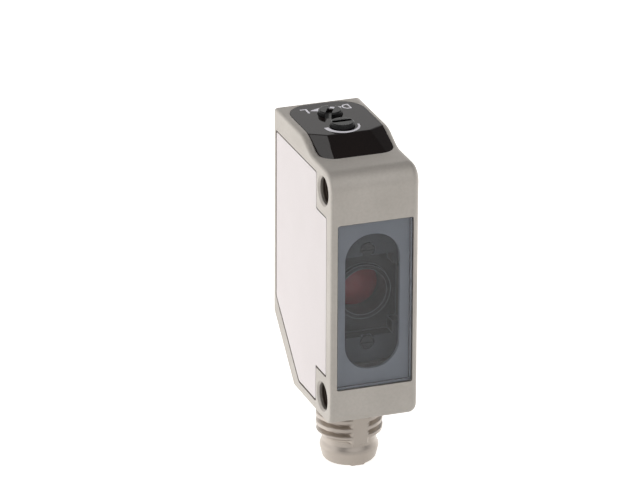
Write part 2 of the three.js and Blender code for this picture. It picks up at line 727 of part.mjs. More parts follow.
// The main board stands upright beside the mounting wall, with its lower back corner cut away
// along the bevel.
const MAIN_BOARD_BACK = CAVITY_BACK - FIT;
const MAIN_BOARD_TOP = DISPLAY_BOARD_TOP - BOARD_THICKNESS - FIT;
const MAIN_BOARD_CUT_Z = coverBevelZ(MAIN_BOARD_BACK) + COVER_SEAT * 2;
const mainBoardCorners = [
  { x: MAIN_BOARD_FRONT, y: MAIN_BOARD_FOOT },
  { x: MAIN_BOARD_BACK - MAIN_BOARD_CUT, y: MAIN_BOARD_FOOT },
  { x: MAIN_BOARD_BACK, y: Math.max(MAIN_BOARD_CUT_Z, MAIN_BOARD_FOOT + MAIN_BOARD_CUT) },
  { x: MAIN_BOARD_BACK, y: MAIN_BOARD_TOP },
  { x: MAIN_BOARD_FRONT, y: MAIN_BOARD_TOP },
].map((corner) => ({ ...corner, r: MAIN_BOARD_CORNER_RADIUS }));
add(
  "main_board",
  alongX(roundedShape(mainBoardCorners), MAIN_BOARD_X, MAIN_BOARD_X + BOARD_THICKNESS),
  boardGreen,
);

// A chip on the main board's inner face.
function mainBoardChip(name, { y, z, depth, length, height }) {
  const face = MAIN_BOARD_X - RUN;
  const y0 = MAIN_BOARD_FRONT + y;
  const z0 = MAIN_BOARD_FOOT + z;
  const mirror = chip(-face, y0, z0, height - face, y0 + depth, z0 + length, 0);
  add(name, mirror.mirror([1, 0, 0]), chipEpoxy);
}

mainBoardChip("control_ic", CONTROL_IC);
mainBoardChip("output_transistor", TRANSISTOR);
mainBoardChip("supply_regulator", REGULATOR);

// The supply capacitor lies across the main board's upper end.
function supplyCapacitor() {
  const x1 = MAIN_BOARD_X - RUN;
  const can = aimX(rod(CAPACITOR_RADIUS, x1 - CAPACITOR_LENGTH, x1, SMALL_SEGMENTS));
  return can.translate([
    0,
    MAIN_BOARD_FRONT + CAPACITOR_FROM_FRONT,
    MAIN_BOARD_TOP - CAPACITOR_BELOW_TOP,
  ]);
}

add("supply_capacitor", supplyCapacitor(), tinPlate);

// The display board lies flat under the display window.
const DISPLAY_BOARD_BACK = CAVITY_BACK - FIT;
add(
  "display_board",
  block(
    CAVITY_LEFT + FIT,
    DISPLAY_BOARD_FRONT,
    DISPLAY_BOARD_TOP - BOARD_THICKNESS,
    CAVITY_RIGHT - FIT,
    DISPLAY_BOARD_BACK,
    DISPLAY_BOARD_TOP,
  ),
  boardGreen,
);

// An indicator: a clear lens on a low frame.
function indicator(x) {
  const y = DISPLAY_BOARD_FRONT + LED_FROM_FRONT;
  const z = DISPLAY_BOARD_TOP + RUN;
  const [lens, frame] = [
    [LED_LENS_LENGTH / 2, LED_HEIGHT],
    [LED_FRAME_LENGTH / 2, LED_FRAME_HEIGHT],
  ].map(([half, height]) => {
    return block(x - half, y - LED_WIDTH / 2, z, x + half, y + LED_WIDTH / 2, z + height);
  });
  return lens.add(frame);
}

add("operation_led", indicator(MID_X - LED_FROM_MIDDLE), orangeLed);
add("stability_led", indicator(MID_X + LED_FROM_MIDDLE), greenLed);

// ---------------------------------------------------------------- display window and gasket

// The wedge that stands above a plane through three points, given in any order.
function above(a, b, c) {
  const normal = b.clone().sub(a).cross(c.clone().sub(a)).normalize();
  if (normal.z < 0) normal.negate();
  const size = 4 * DEPTH;
  const cutter = new THREE.BoxGeometry(size, size, size).translate(0, 0, size / 2);
  const turn = new THREE.Quaternion().setFromUnitVectors(new THREE.Vector3(0, 0, 1), normal);
  cutter.applyQuaternion(turn).translate(a.x, a.y, a.z);
  return solid(cutter);
}

function adjusterHole(y) {
  return rod(KNOB_RADIUS + KNOB_CLEARANCE, DISPLAY_FLOOR - CUT, HEIGHT + CUT).translate([MID_X, y, 0]);
}

function displayWindow() {
  const outline = insetCorners(displayCorners, RUN);
  const front = displayCorners[0].y;
  const ridgeY = DEPTH - DISPLAY_RIDGE_FROM_BACK;
  const hipY = DEPTH - DISPLAY_HIP_FROM_BACK;
  const ridge = (side) => new THREE.Vector3(MID_X + (side * DISPLAY_RIDGE_LENGTH) / 2, ridgeY, HEIGHT);
  const foot = (side) =>
    new THREE.Vector3(MID_X + (side * DISPLAY_FOOT_LENGTH) / 2, front, HEIGHT - DISPLAY_FRONT_DROP);
  const hip = (side) => new THREE.Vector3(MID_X + side * (MID_X - DISPLAY_SIDE_MARGIN), hipY, HEIGHT);
  let part = alongZ(roundedShape(outline), DISPLAY_FLOOR + RUN, HEIGHT);
  part = part.subtract(above(ridge(-1), ridge(1), foot(1)));
  for (const side of [-1, 1]) part = part.subtract(above(ridge(side), hip(side), foot(side)));
  return part.subtract(adjusterHole(SENSITIVITY_Y)).subtract(adjusterHole(MODE_Y));
}

add("display_window", displayWindow(), darkWindow);

const gasketTop = DISPLAY_FLOOR;
const gasketShape = (inset) => roundedShape(insetCorners(displayCorners, inset));
add(
  "display_gasket",
  alongZ(gasketShape(FIT), gasketTop - GASKET_THICKNESS + RUN, gasketTop).subtract(
    alongZ(gasketShape(FIT + GASKET_WIDTH), gasketTop - GASKET_THICKNESS - CUT, gasketTop + CUT),
  ),
  sealRubber,
);

// ---------------------------------------------------------------- adjusters

const BASE_TOP = DISPLAY_BOARD_TOP + RUN + ADJUSTER_BASE_HEIGHT;
const ROTOR_TOP = ROTOR_FLOOR + RUN + ROTOR_HEIGHT;
const STEM_FOOT = ROTOR_TOP + RUN;

function adjusterBase(y) {
  const half = ADJUSTER_BASE_WIDTH / 2;
  const base = block(MID_X - half, y - half, DISPLAY_BOARD_TOP + RUN, MID_X + half, y + half, BASE_TOP);
  const well = rod(ROTOR_RADIUS + KNOB_CLEARANCE, ROTOR_FLOOR, BASE_TOP + CUT).translate([MID_X, y, 0]);
  return base.subtract(well);
}

// The rotor is about Z at the origin; its slot takes the knob's blade.
function rotor() {
  const slot = block(
    -BLADE_LENGTH / 2 - FIT,
    -BLADE_WIDTH / 2 - FIT,
    ROTOR_TOP - BLADE_HEIGHT - FIT,
    BLADE_LENGTH / 2 + FIT,
    BLADE_WIDTH / 2 + FIT,
    ROTOR_TOP + CUT,
  );
  return rod(ROTOR_RADIUS, ROTOR_FLOOR + RUN, ROTOR_TOP).subtract(slot);
}

const ORING_Z = DISPLAY_FLOOR + ORING_ABOVE_FLOOR;

function knobStem() {
  const groove = KNOB_RADIUS - ORING_WIDTH;
  const top = HEIGHT + KNOB_PROUD;
  const profile = [
    [0, STEM_FOOT],
    [KNOB_RADIUS, STEM_FOOT],
    [KNOB_RADIUS, ORING_Z],
    [groove, ORING_Z],
    [groove, ORING_Z + ORING_WIDTH + 2 * RUN],
    [KNOB_RADIUS, ORING_Z + ORING_WIDTH + 2 * RUN],
    [KNOB_RADIUS, top - KNOB_CHAMFER],
    [KNOB_RADIUS - KNOB_CHAMFER, top],
    [0, top],
  ];
  const blade = block(
    -BLADE_LENGTH / 2,
    -BLADE_WIDTH / 2,
    STEM_FOOT - BLADE_HEIGHT,
    BLADE_LENGTH / 2,
    BLADE_WIDTH / 2,
    STEM_FOOT + FIT,
  );
  return turned(profile, KNOB_SEGMENTS).add(blade);
}

// A straight screwdriver slot along X in the knob's crown.
function driverSlot() {
  const top = HEIGHT + KNOB_PROUD;
  return block(
    -KNOB_SLOT_LENGTH / 2,
    -KNOB_SLOT_WIDTH / 2,
    top - KNOB_SLOT_DEPTH,
    KNOB_SLOT_LENGTH / 2,
    KNOB_SLOT_WIDTH / 2,
    top + CUT,
  );
}

// The selector's wide deep slot runs out through the rim at both ends, along Y.
function pointerSlot() {
  const top = HEIGHT + KNOB_PROUD;
  const half = POINTER_SLOT_WIDTH / 2;
  const end = KNOB_RADIUS + CUT;
  return block(-half, -end, top - POINTER_SLOT_DEPTH, half, end, top + CUT);
}

function sealRing() {
  const outer = KNOB_RADIUS + KNOB_CLEARANCE - ORING_GAP;
  const inner = KNOB_RADIUS - ORING_WIDTH + ORING_GAP;
  return ring(outer, inner, ORING_Z + RUN, ORING_Z + ORING_WIDTH + RUN, KNOB_SEGMENTS);
}

function adjuster(name, y, angle, slot) {
  const group = new THREE.Group();
  group.position.set(MID_X, y, 0);
  const turn = (part) => part.rotate([0, 0, angle]);
  body.add(group);
  add(name + "_base", adjusterBase(y), blackPlastic);
  add(name + "_rotor", turn(rotor()), whiteRotor, group);
  add(name + "_knob", turn(knobStem().subtract(slot)), knobPlastic, group);
  add(name + "_oring", sealRing(), sealRubber, group);
}

adjuster("sensitivity", SENSITIVITY_Y, 0, driverSlot());
adjuster("mode", MODE_Y, MODE_REST_ANGLE, pointerSlot());

// ---------------------------------------------------------------- plug

const plug = new THREE.Group();
plug.position.set(MID_X, PLUG_FROM_FRONT, 0);
body.add(plug);
const SHELL_TOP = CAVITY_FOOT + LOCK_RING_HEIGHT + FIT;
const INSERT_TOP = SHELL_TOP + INSERT_RISE;
const THREAD_ROOT = THREAD_RADIUS - THREAD_DEPTH;

// Outside of the shell from the tip up: tapered nose, thread relief, thread and a seal seat.
function plugShell() {
  const profile = [
    [BORE_RADIUS, -PLUG_LENGTH],
    [NOSE_TIP_RADIUS - NOSE_CHAMFER, -PLUG_LENGTH],
    [NOSE_TIP_RADIUS, -PLUG_LENGTH + NOSE_CHAMFER],
    [NOSE_RADIUS, -NOSE_DEPTH_Z],
    [RELIEF_RADIUS, -RELIEF_DEPTH_Z - NOSE_CHAMFER],
    [RELIEF_RADIUS, -RELIEF_DEPTH_Z + NOSE_CHAMFER],
  ];
  for (let i = THREAD_RIDGES; i > 0; i--) {
    const crest = -SEAL_SEAT_HEIGHT - (i - 0.5) * THREAD_PITCH;
    const crestHalf = (THREAD_PITCH * THREAD_CREST) / 2;
    const footHalf = (THREAD_PITCH * THREAD_FOOT) / 2;
    profile.push([THREAD_ROOT, crest - footHalf]);
    profile.push([THREAD_RADIUS, crest - crestHalf]);
    profile.push([THREAD_RADIUS, crest + crestHalf]);
    profile.push([THREAD_ROOT, crest + footHalf]);
  }
  profile.push([THREAD_ROOT, -RUN], [STEM_RADIUS, -RUN]);
  profile.push([STEM_RADIUS, SHELL_TOP], [BORE_RADIUS, SHELL_TOP]);
  profile.push([BORE_RADIUS, -PLUG_LENGTH]);
  const half = KEY_RIB_WIDTH / 2;
  const ribFace = -Math.sqrt(THREAD_RADIUS ** 2 - half ** 2) + FIT;
  const ribFoot = -SEAL_SEAT_HEIGHT - THREAD_RIDGES * THREAD_PITCH - RIB_BELOW_THREAD;
  const rib = block(-half, ribFace, ribFoot, half, -THREAD_ROOT + FIT, -SEAL_SEAT_HEIGHT);
  return turned(profile).add(rib);
}

add("plug_shell", plugShell(), steel, plug);

add(
  "plug_seal",
  ring(THREAD_ROOT + SEAL_WIDTH, THREAD_ROOT + RUN, -SEAL_SEAT_HEIGHT + FIT, -RUN),
  sealRubber,
  plug,
);
add(
  "plug_lock_ring",
  ring(LOCK_RING_RADIUS, STEM_RADIUS + RUN, CAVITY_FOOT + RUN, SHELL_TOP - RUN),
  steel,
  plug,
);

const pinAngles = [45, 135, 225, 315].map((degrees) => THREE.MathUtils.degToRad(degrees));
const pinPlaces = pinAngles.map((a) => [
  PIN_CIRCLE_RADIUS * Math.cos(a),
  PIN_CIRCLE_RADIUS * Math.sin(a),
]);

function plugInsert() {
  const half = INSERT_KEY_WIDTH / 2;
  const keyFace = BORE_RADIUS - INSERT_KEY_DEPTH;
  const key = block(-half, keyFace, -INSERT_FACE_DEPTH - CUT, half, BORE_RADIUS + CUT, 0);
  let part = rod(BORE_RADIUS - RUN, -INSERT_FACE_DEPTH, INSERT_TOP).subtract(key);
  for (const [x, y] of pinPlaces) {
    const hole = rod(PIN_RADIUS + RUN, -INSERT_FACE_DEPTH - CUT, INSERT_TOP + CUT, PIN_SEGMENTS);
    part = part.subtract(hole.translate([x, y, 0]));
  }
  return part;
}

add("plug_insert", plugInsert(), blackPlastic, plug);

const PIN_TOP = INSERT_TOP + PIN_RISE;

function contactPin() {
  const foot = -PLUG_LENGTH + PIN_TIP_BACK;
  const profile = [
    [0, foot],
    [PIN_TIP_RADIUS, foot],
    [PIN_RADIUS, foot + PIN_TAPER],
    [PIN_RADIUS, PIN_TOP],
    [0, PIN_TOP],
  ];
  return turned(profile, PIN_SEGMENTS);
}

// Each lead rises from its pin, runs back under the optics and up to the main board's foot.
function pinLead(x, y, column) {
  const boardY = MAIN_BOARD_FRONT - PLUG_FROM_FRONT;
  const backY = boardY + LEAD_FROM_BOARD_FRONT + column * LEAD_SPACING;
  const endX = MAIN_BOARD_X - MID_X + BOARD_THICKNESS / 2;
  const low = new THREE.Vector3(x, y, PIN_TOP + LEAD_RISE);
  const high = new THREE.Vector3(endX, backY, MAIN_BOARD_FOOT - 2 * LEAD_RISE);
  const middle = low.clone().lerp(high, 0.55).setZ(low.z + LEAD_RISE);
  const path = new THREE.CatmullRomCurve3([
    new THREE.Vector3(x, y, PIN_TOP + RUN),
    low,
    middle,
    high,
    new THREE.Vector3(endX, backY, MAIN_BOARD_FOOT - RUN),
  ]);
  const section = new THREE.Shape().absarc(0, 0, LEAD_RADIUS, 0, 2 * Math.PI);
  return solid(new THREE.ExtrudeGeometry(section, { extrudePath: path, steps: 20, curveSegments: 4 }));
}

pinPlaces.forEach(([x, y], i) => {
  add("contact_pin_" + (i + 1), contactPin().translate([x, y, 0]), goldPlate, plug);
  add("pin_lead_" + (i + 1), pinLead(x, y, LEAD_COLUMNS[i]), leadJackets[i], plug);
});

export default sensor;
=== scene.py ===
import json
import math

import bmesh
import bpy
from mathutils import Matrix, Vector

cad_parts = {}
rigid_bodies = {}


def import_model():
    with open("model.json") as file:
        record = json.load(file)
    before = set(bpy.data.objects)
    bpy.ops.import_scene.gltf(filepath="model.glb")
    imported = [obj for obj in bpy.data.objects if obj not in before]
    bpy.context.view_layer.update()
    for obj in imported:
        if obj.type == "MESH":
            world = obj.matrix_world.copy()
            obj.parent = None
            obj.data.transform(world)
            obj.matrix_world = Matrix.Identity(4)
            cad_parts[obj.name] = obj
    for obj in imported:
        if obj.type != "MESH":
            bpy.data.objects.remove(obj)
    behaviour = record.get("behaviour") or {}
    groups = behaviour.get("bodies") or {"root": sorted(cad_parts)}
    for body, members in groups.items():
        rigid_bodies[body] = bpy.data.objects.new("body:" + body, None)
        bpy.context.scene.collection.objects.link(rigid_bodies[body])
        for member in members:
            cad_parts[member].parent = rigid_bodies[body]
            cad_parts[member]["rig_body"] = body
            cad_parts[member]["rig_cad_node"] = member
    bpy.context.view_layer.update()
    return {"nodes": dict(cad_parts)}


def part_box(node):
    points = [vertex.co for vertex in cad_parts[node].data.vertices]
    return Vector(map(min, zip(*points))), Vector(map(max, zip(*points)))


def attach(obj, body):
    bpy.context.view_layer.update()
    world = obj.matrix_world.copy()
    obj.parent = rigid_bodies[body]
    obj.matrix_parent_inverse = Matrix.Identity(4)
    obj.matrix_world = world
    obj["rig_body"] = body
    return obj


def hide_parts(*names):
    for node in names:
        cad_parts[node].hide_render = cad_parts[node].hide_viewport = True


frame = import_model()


# -------------------- camera
# The sensor is seen from above its front left corner through a long lens, close to a
# parallel view. The aim is the point that the middle of the view falls on.
mm = 0.001
camera_aim = Vector((-7.722, 9.375, 2.638)) * mm
camera_turn = math.radians(19.977)
camera_drop = math.radians(22.383)
camera_roll = math.radians(0.236)
camera_distance = 645.15 * mm

sight = Vector((
    math.sin(camera_turn) * math.cos(camera_drop),
    math.cos(camera_turn) * math.cos(camera_drop),
    -math.sin(camera_drop),
))
level = Vector((math.cos(camera_turn), -math.sin(camera_turn), 0))
upright = level.cross(sight)
across = level * math.cos(camera_roll) + upright * math.sin(camera_roll)
up = upright * math.cos(camera_roll) - level * math.sin(camera_roll)
lens = bpy.data.cameras.new("sensor_camera")
lens.sensor_width = 36
lens.lens = 314.466
lens.clip_start = 0.05
lens.clip_end = 5
camera = bpy.data.objects.new("sensor_camera", lens)
camera.matrix_world = Matrix.Translation(camera_aim - sight * camera_distance) @ Matrix(
    (across, up, -sight)
).transposed().to_4x4()
bpy.context.scene.collection.objects.link(camera)
bpy.context.scene.camera = camera


# -------------------- table and studio light
# A seamless sheet of pale card runs under the sensor. White walls at both sides and the back
# and a soft canopy over the front give pale even light, with one small softbox high over
# the back; the rest of the room is dim.
def linear(hexes):
    """An sRGB colour such as "c8c2ba" as linear red, green, blue and alpha."""
    shares = [int(hexes[i:i + 2], 16) / 255 for i in (0, 2, 4)]
    return tuple(s / 12.92 if s <= 0.04045 else ((s + 0.055) / 1.055) ** 2.4 for s in shares) + (1,)


def add_node(tree, kind, inputs=None, to=None, **settings):
    """A new shader node with its settings, its input values and links, and its first output
    linked on to a socket."""
    made = tree.nodes.new("ShaderNode" + kind)
    for key, value in settings.items():
        setattr(made, key, value)
    for key, value in (inputs or {}).items():
        if isinstance(value, bpy.types.NodeSocket):
            tree.links.new(value, made.inputs[key])
        else:
            made.inputs[key].default_value = value
    if to is not None:
        tree.links.new(made.outputs[0], to)
    return made


def new_material(name):
    """A material without a shader: itself, its tree, its coordinates and its surface socket."""
    material = bpy.data.materials.new(name)
    material.use_nodes = True
    tree = material.node_tree
    tree.nodes.clear()
    place = add_node(tree, "TexCoord").outputs["Object"]
    return material, tree, place, add_node(tree, "OutputMaterial").inputs["Surface"]


scene = bpy.context.scene
scene.view_settings.view_transform = "Standard"

studio = bpy.data.worlds.new("studio")
scene.world = studio
studio.use_nodes = True
room = studio.node_tree
room.nodes.clear()
ray_way = add_node(room, "TexCoord").outputs["Generated"]
ray_parts = add_node(room, "SeparateXYZ", {0: ray_way})
wall_share = add_node(room, "MapRange", {
    "Value": ray_parts.outputs["Y"], "From Min": -0.75, "From Max": -0.1, "To Min": 0.0, "To Max": 1.0,
}, interpolation_type="SMOOTHSTEP")
right_lower = add_node(room, "Math", {
    0: ray_parts.outputs["X"], 1: 0.25, 2: ray_parts.outputs["Z"],
}, operation="MULTIPLY_ADD")
wall_height = add_node(room, "MapRange", {
    "Value": right_lower.outputs[0], "From Min": 0.15, "From Max": 0.9, "To Min": 1.0, "To Max": 0.0,
}, interpolation_type="SMOOTHSTEP")
lit_wall = add_node(room, "Math", {
    0: wall_share.outputs[0], 1: wall_height.outputs[0],
}, operation="MULTIPLY")
lit_room = lit_wall.outputs[0]
canopy = ((0.1, -0.7, 0.72), 0.6, 0.95, 0.82)
softbox = ((0.02, 0.4, 0.915), 0.982, 0.994, 1.9)
for way, edge_cosine, middle_cosine, strength in (canopy, softbox):
    towards = add_node(room, "VectorMath", {
        0: ray_way, 1: Vector(way).normalized(),
    }, operation="DOT_PRODUCT")
    lamp = add_node(room, "MapRange", {
        "Value": towards.outputs["Value"], "From Min": edge_cosine, "From Max": middle_cosine,
        "To Min": 0.0, "To Max": strength,
    }, interpolation_type="SMOOTHSTEP")
    lit_room = add_node(room, "Math", {
        0: lit_room, 1: lamp.outputs[0],
    }, operation="MAXIMUM").outputs[0]
room_strength = add_node(room, "MapRange", {
    "Value": lit_room, "To Min": 0.2, "To Max": 1.3,
}, clamp=False)
room_ray = add_node(room, "LightPath")
room_light = add_node(room, "Background", {
    "Color": linear("fbfaf9"), "Strength": room_strength.outputs[0],
})
room_wall = add_node(room, "Background", {"Color": linear("ffffff"), "Strength": 1.0})
room_mix = add_node(room, "MixShader", {
    0: room_ray.outputs["Is Camera Ray"],
    1: room_light.outputs[0],
    2: room_wall.outputs[0],
})
add_node(room, "OutputWorld", {"Surface": room_mix.outputs[0]})


def placed(name):
    """Names the new primitive and puts its place in its mesh."""
    piece = bpy.context.object
    piece.name = piece.data.name = name
    bpy.ops.object.transform_apply(location=True, rotation=True, scale=True)
    return piece


bpy.ops.object.select_all(action="DESELECT")
floor_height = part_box("plug_shell")[0].z - 0.02 * mm
bpy.ops.mesh.primitive_plane_add(size=4, location=(0, 0, floor_height))
floor = placed("pale_floor")
card, tree, place, surface = new_material("matt_paper_card")
grain = add_node(tree, "TexNoise", {"Scale": 1 / (0.8 * mm), "Detail": 3.0})
tone = add_node(tree, "Mix", {
    0: grain.outputs["Fac"], 6: linear("f8f7f5"), 7: linear("fefefd"),
}, data_type="RGBA")
# The card glows. To the camera it is an even white. Its glow on the sensor is painted light: dim in front of
# the sensor and bright behind it.
seen = add_node(tree, "LightPath")
depth_on_table = add_node(tree, "SeparateXYZ", {0: place}).outputs["Y"]
glow_painted_brighter_behind = add_node(tree, "MapRange", {
    "Value": depth_on_table, "From Min": -2 * mm, "From Max": 10 * mm, "To Min": 0.25, "To Max": 0.95,
}, interpolation_type="SMOOTHSTEP")
glow = add_node(tree, "MapRange", {
    "Value": seen.outputs["Is Camera Ray"], "To Min": glow_painted_brighter_behind.outputs[0], "To Max": 0.68,
})
add_node(tree, "BsdfPrincipled", {
    "Base Color": tone.outputs[2], "Roughness": 0.85,
    "Emission Color": tone.outputs[2], "Emission Strength": glow.outputs[0],
}, to=surface)
floor.data.materials.append(card)


# -------------------- case
# The case is a precision casting in stainless steel, bead blasted to an even pale grey. It
# is hollow, open at the label side for the cover, with two M3 holes bored right through.
body_low, body_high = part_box("case")
case_width = body_high.x - body_low.x
ledge_drop = 1.4 * mm
top_length = 9.4 * mm
riser_length = 3.1 * mm
riser_radius = 3.4 * mm
bevel_height = 6.8 * mm
bevel_length = 7.0 * mm
shoulder_radius = 2.1 * mm
front_foot_radius = 1.3 * mm
back_edge_radius = 0.4 * mm
label_edge_radius = 0.35 * mm
mount_edge_radius = 1.0 * mm
hole_radius = 1.6 * mm
hole_chamfer = 0.25 * mm
bore_mouth = 0.55 * mm
hole_pitch = 25.4 * mm
over = 2.0 * mm
hair = 0.01 * mm
weld = 0.002 * mm


def block(name, low, high):
    """A box between two corners, with its place in its mesh."""
    bpy.ops.object.select_all(action="DESELECT")
    low, high = Vector(low), Vector(high)
    bpy.ops.mesh.primitive_cube_add(size=1, location=(low + high) / 2, scale=high - low)
    return placed(name)


def rod(name, centre, radius, length, axis="Z", sides=64):
    """A round bar about an axis, with its place in its mesh."""
    bpy.ops.object.select_all(action="DESELECT")
    turn = {"X": (0, math.pi / 2, 0), "Y": (math.pi / 2, 0, 0), "Z": (0, 0, 0)}[axis]
    bpy.ops.mesh.primitive_cylinder_add(
        vertices=sides, radius=radius, depth=length, location=centre, rotation=turn
    )
    return placed(name)


def pick(piece):
    """Makes a piece the active one and the only one selected."""
    bpy.ops.object.select_all(action="DESELECT")
    bpy.context.view_layer.objects.active = piece
    piece.select_set(True)


def work_on(piece):
    """Opens a piece in edit mode with nothing selected."""
    pick(piece)
    bpy.ops.object.mode_set(mode="EDIT")
    bpy.ops.mesh.select_all(action="DESELECT")


def leave():
    """Closes the open piece."""
    bpy.ops.object.mode_set(mode="OBJECT")


def choose(kind, test):
    """Selects the vertices, edges or faces of the open piece whose middle passes a test."""
    bpy.ops.mesh.select_all(action="DESELECT")
    bpy.ops.mesh.select_mode(type={"verts": "VERT", "edges": "EDGE", "faces": "FACE"}[kind])
    mesh = bpy.context.edit_object.data
    inside = bmesh.from_edit_mesh(mesh)
    for part in getattr(inside, kind):
        if kind == "verts":
            middle, facing = part.co, part.normal
        elif kind == "edges":
            middle = (part.verts[0].co + part.verts[1].co) / 2
            facing = (part.verts[1].co - part.verts[0].co).normalized()
        else:
            middle, facing = part.calc_center_median(), part.normal
        if test(middle, facing):
            part.select_set(True)
    inside.select_flush_mode()
    bmesh.update_edit_mesh(mesh)


def slice_off(point, normal, keep_both=False):
    """Cuts the open piece along a plane, and takes away what is on the normal's side."""
    bpy.ops.mesh.select_all(action="SELECT")
    bpy.ops.mesh.bisect(
        plane_co=point,
        plane_no=Vector(normal).normalized(),
        clear_outer=not keep_both,
        use_fill=not keep_both,
        threshold=weld / 2,
    )


def round_edges(test, radius, segments=6, turn=math.pi / 2):
    """Rounds the chosen edges of the open piece to a radius, where the faces turn by an angle."""
    choose("edges", test)
    bpy.ops.mesh.bevel(
        offset_type="OFFSET",
        offset=radius * math.tan(turn / 2),
        segments=segments,
        profile=0.5,
        affect="EDGES",
        clamp_overlap=False,
    )


def combine(piece, other, operation="DIFFERENCE"):
    """Cuts another piece out of this one, or joins it on, and uses it up."""
    pick(piece)
    step = piece.modifiers.new("combine", "BOOLEAN")
    step.operation = operation
    step.solver = "EXACT"
    step.object = other
    bpy.ops.object.modifier_apply(modifier=step.name)
    bpy.data.objects.remove(other)


def smooth(piece, angle=32):
    """Merges doubled points, turns the faces outwards and smooths all but the real edges."""
    work_on(piece)
    bpy.ops.mesh.select_all(action="SELECT")
    bpy.ops.mesh.remove_doubles(threshold=weld)
    bpy.ops.mesh.normals_make_consistent(inside=False)
    leave()
    bpy.ops.object.shade_smooth_by_angle(angle=math.radians(angle))
    step = piece.modifiers.new("flat_faces_stay_flat", "WEIGHTED_NORMAL")
    step.keep_sharp = True
    bpy.ops.object.modifier_apply(modifier=step.name)


def soften(piece, width, angle=40):
    """Takes the sharpness off every real edge, by a bevel of that width."""
    pick(piece)
    step = piece.modifiers.new("soften", "BEVEL")
    step.limit_method = "ANGLE"
    step.angle_limit = math.radians(angle)
    step.width = width
    step.segments = 2
    bpy.ops.object.modifier_apply(modifier=step.name)


def at(value, target):
    """True when a place is on a target, to two hairs."""
    return abs(value - target) < 2 * hair


back, front, foot, top = body_high.y, body_low.y, body_low.z, body_high.z
ledge = top - ledge_drop
riser_top, riser_foot = back - top_length, back - top_length - riser_length
bevel_foot, bevel_top = back - bevel_length, foot + bevel_height
bevel_turn = math.atan2(bevel_height, bevel_length)
riser_turn = math.atan2(ledge_drop, riser_length)
# Each corner of the side outline: its y and z, its radius, the turn between its faces, its steps.
outline_corners = (
    (front, ledge, shoulder_radius, math.pi / 2, 12),
    (front, foot, front_foot_radius, math.pi / 2, 10),
    (riser_foot, ledge, riser_radius, riser_turn, 5),
    (riser_top, top, riser_radius, riser_turn, 5),
    (back, top, back_edge_radius, math.pi / 2, 4),
    (back, bevel_top, back_edge_radius, math.pi / 2 - bevel_turn, 3),
    (bevel_foot, foot, back_edge_radius, bevel_turn, 3),
)


def merge_flats():
    """Merges the open piece's faces that lie in one plane."""
    bpy.ops.mesh.select_all(action="SELECT")
    bpy.ops.mesh.dissolve_limited(angle_limit=math.radians(1))


def case_outside(name, swell, tail, *sides):
    """The case's side outline carried across it, a hair larger by the swell and longer at the back
    by the tail. Each of the sides is (x, radius) of a side face whose whole outline is rounded."""
    hairs = Vector((swell, swell, swell))
    piece = block(name, body_low - hairs, body_high + hairs + Vector((0, tail, 0)))
    work_on(piece)
    if not tail:
        slice_off((0, bevel_foot, foot), (0, bevel_height, -bevel_length))
    slice_off((0, riser_top, 0), (0, 1, 0), keep_both=True)
    slice_off((0, riser_foot, 0), (0, 1, 0), keep_both=True)
    choose("verts", lambda p, n: at(p.z, top) and p.y < riser_foot + hair)
    bpy.ops.transform.translate(value=(0, 0, -ledge_drop))
    for y, z, radius, turn, steps in outline_corners:
        round_edges(lambda p, d: abs(d.x) > 0.9 and at(p.y, y) and at(p.z, z), radius, steps, turn)
    merge_flats()
    for side, radius in sides:
        choose("edges", lambda p, d: at(p.x, side) and abs(d.x) < 0.1)
        bpy.ops.mesh.bevel(
            offset_type="OFFSET", offset=radius, segments=6, affect="EDGES", clamp_overlap=False
        )
    leave()
    return piece


case = case_outside(
    "case_casting", 0, 0, (body_low.x, label_edge_radius), (body_high.x, label_edge_radius)
)
rounder = case_outside("mount_edge_rounder", hair / 2, 3 * over, (body_high.x, mount_edge_radius))
combine(case, rounder, "INTERSECT")


def rounded_block(name, low, high, axis, corners):
    """A box rounded along one axis; corners holds (side, side, radius) for the other two axes."""
    prism = block(name, low, high)
    middle = (Vector(low) + Vector(high)) / 2
    along = "XYZ".index(axis)
    first, second = [i for i in range(3) if i != along]
    work_on(prism)
    for side_one, side_two, radius in corners:
        round_edges(
            lambda p, d: abs(d[along]) > 0.9
            and (p[first] - middle[first]) * side_one > 0
            and (p[second] - middle[second]) * side_two > 0,
            radius,
            10,
        )
    leave()
    return prism


cover_front = 1.5 * mm
cover_back = 0.7 * mm
cover_top = 2.5 * mm
cover_foot = 1.15 * mm
cover_bevel = 2.0 * mm
cover_corner = 0.35 * mm
least_corner = 0.12 * mm
notch_behind = 2.1 * mm
notch_beyond = 2.8 * mm
hole_heights = (-hole_pitch / 2, hole_pitch / 2)


def cover_outline(name, inset, x_low, x_high, front_margin=None):
    """A plate with the cover's outline, stepped round both M3 holes and cut along the bevel."""
    y0 = front + (cover_front + inset if front_margin is None else front_margin)
    y1 = back - cover_back - inset
    z0, z1 = foot + cover_foot + inset, top - cover_top - inset
    plate = block(name, (x_low, y0, z0), (x_high, y1, z1))
    shift = cover_bevel + inset
    away = Vector((0, bevel_height, -bevel_length)).normalized()
    work_on(plate)
    slice_off(Vector((0, bevel_foot, foot)) - away * shift, away)
    leave()
    for sign, height in zip((-1, 1), hole_heights):
        reach = height - sign * (notch_beyond + inset)
        ends = sorted((reach, height + sign * 3 * over))
        notch_low = (x_low - over, y0 - over, ends[0])
        notch_high = (x_high + over, notch_behind + inset, ends[1])
        combine(plate, block("notch", notch_low, notch_high))
    work_on(plate)
    merge_flats()
    round_edges(lambda p, d: abs(d.x) > 0.9, max(cover_corner - inset * 0.5, least_corner), 4)
    leave()
    return plate


def all_round(radius):
    """The same radius at all four corners."""
    return [(one, two, radius) for one in (-1, 1) for two in (-1, 1)]


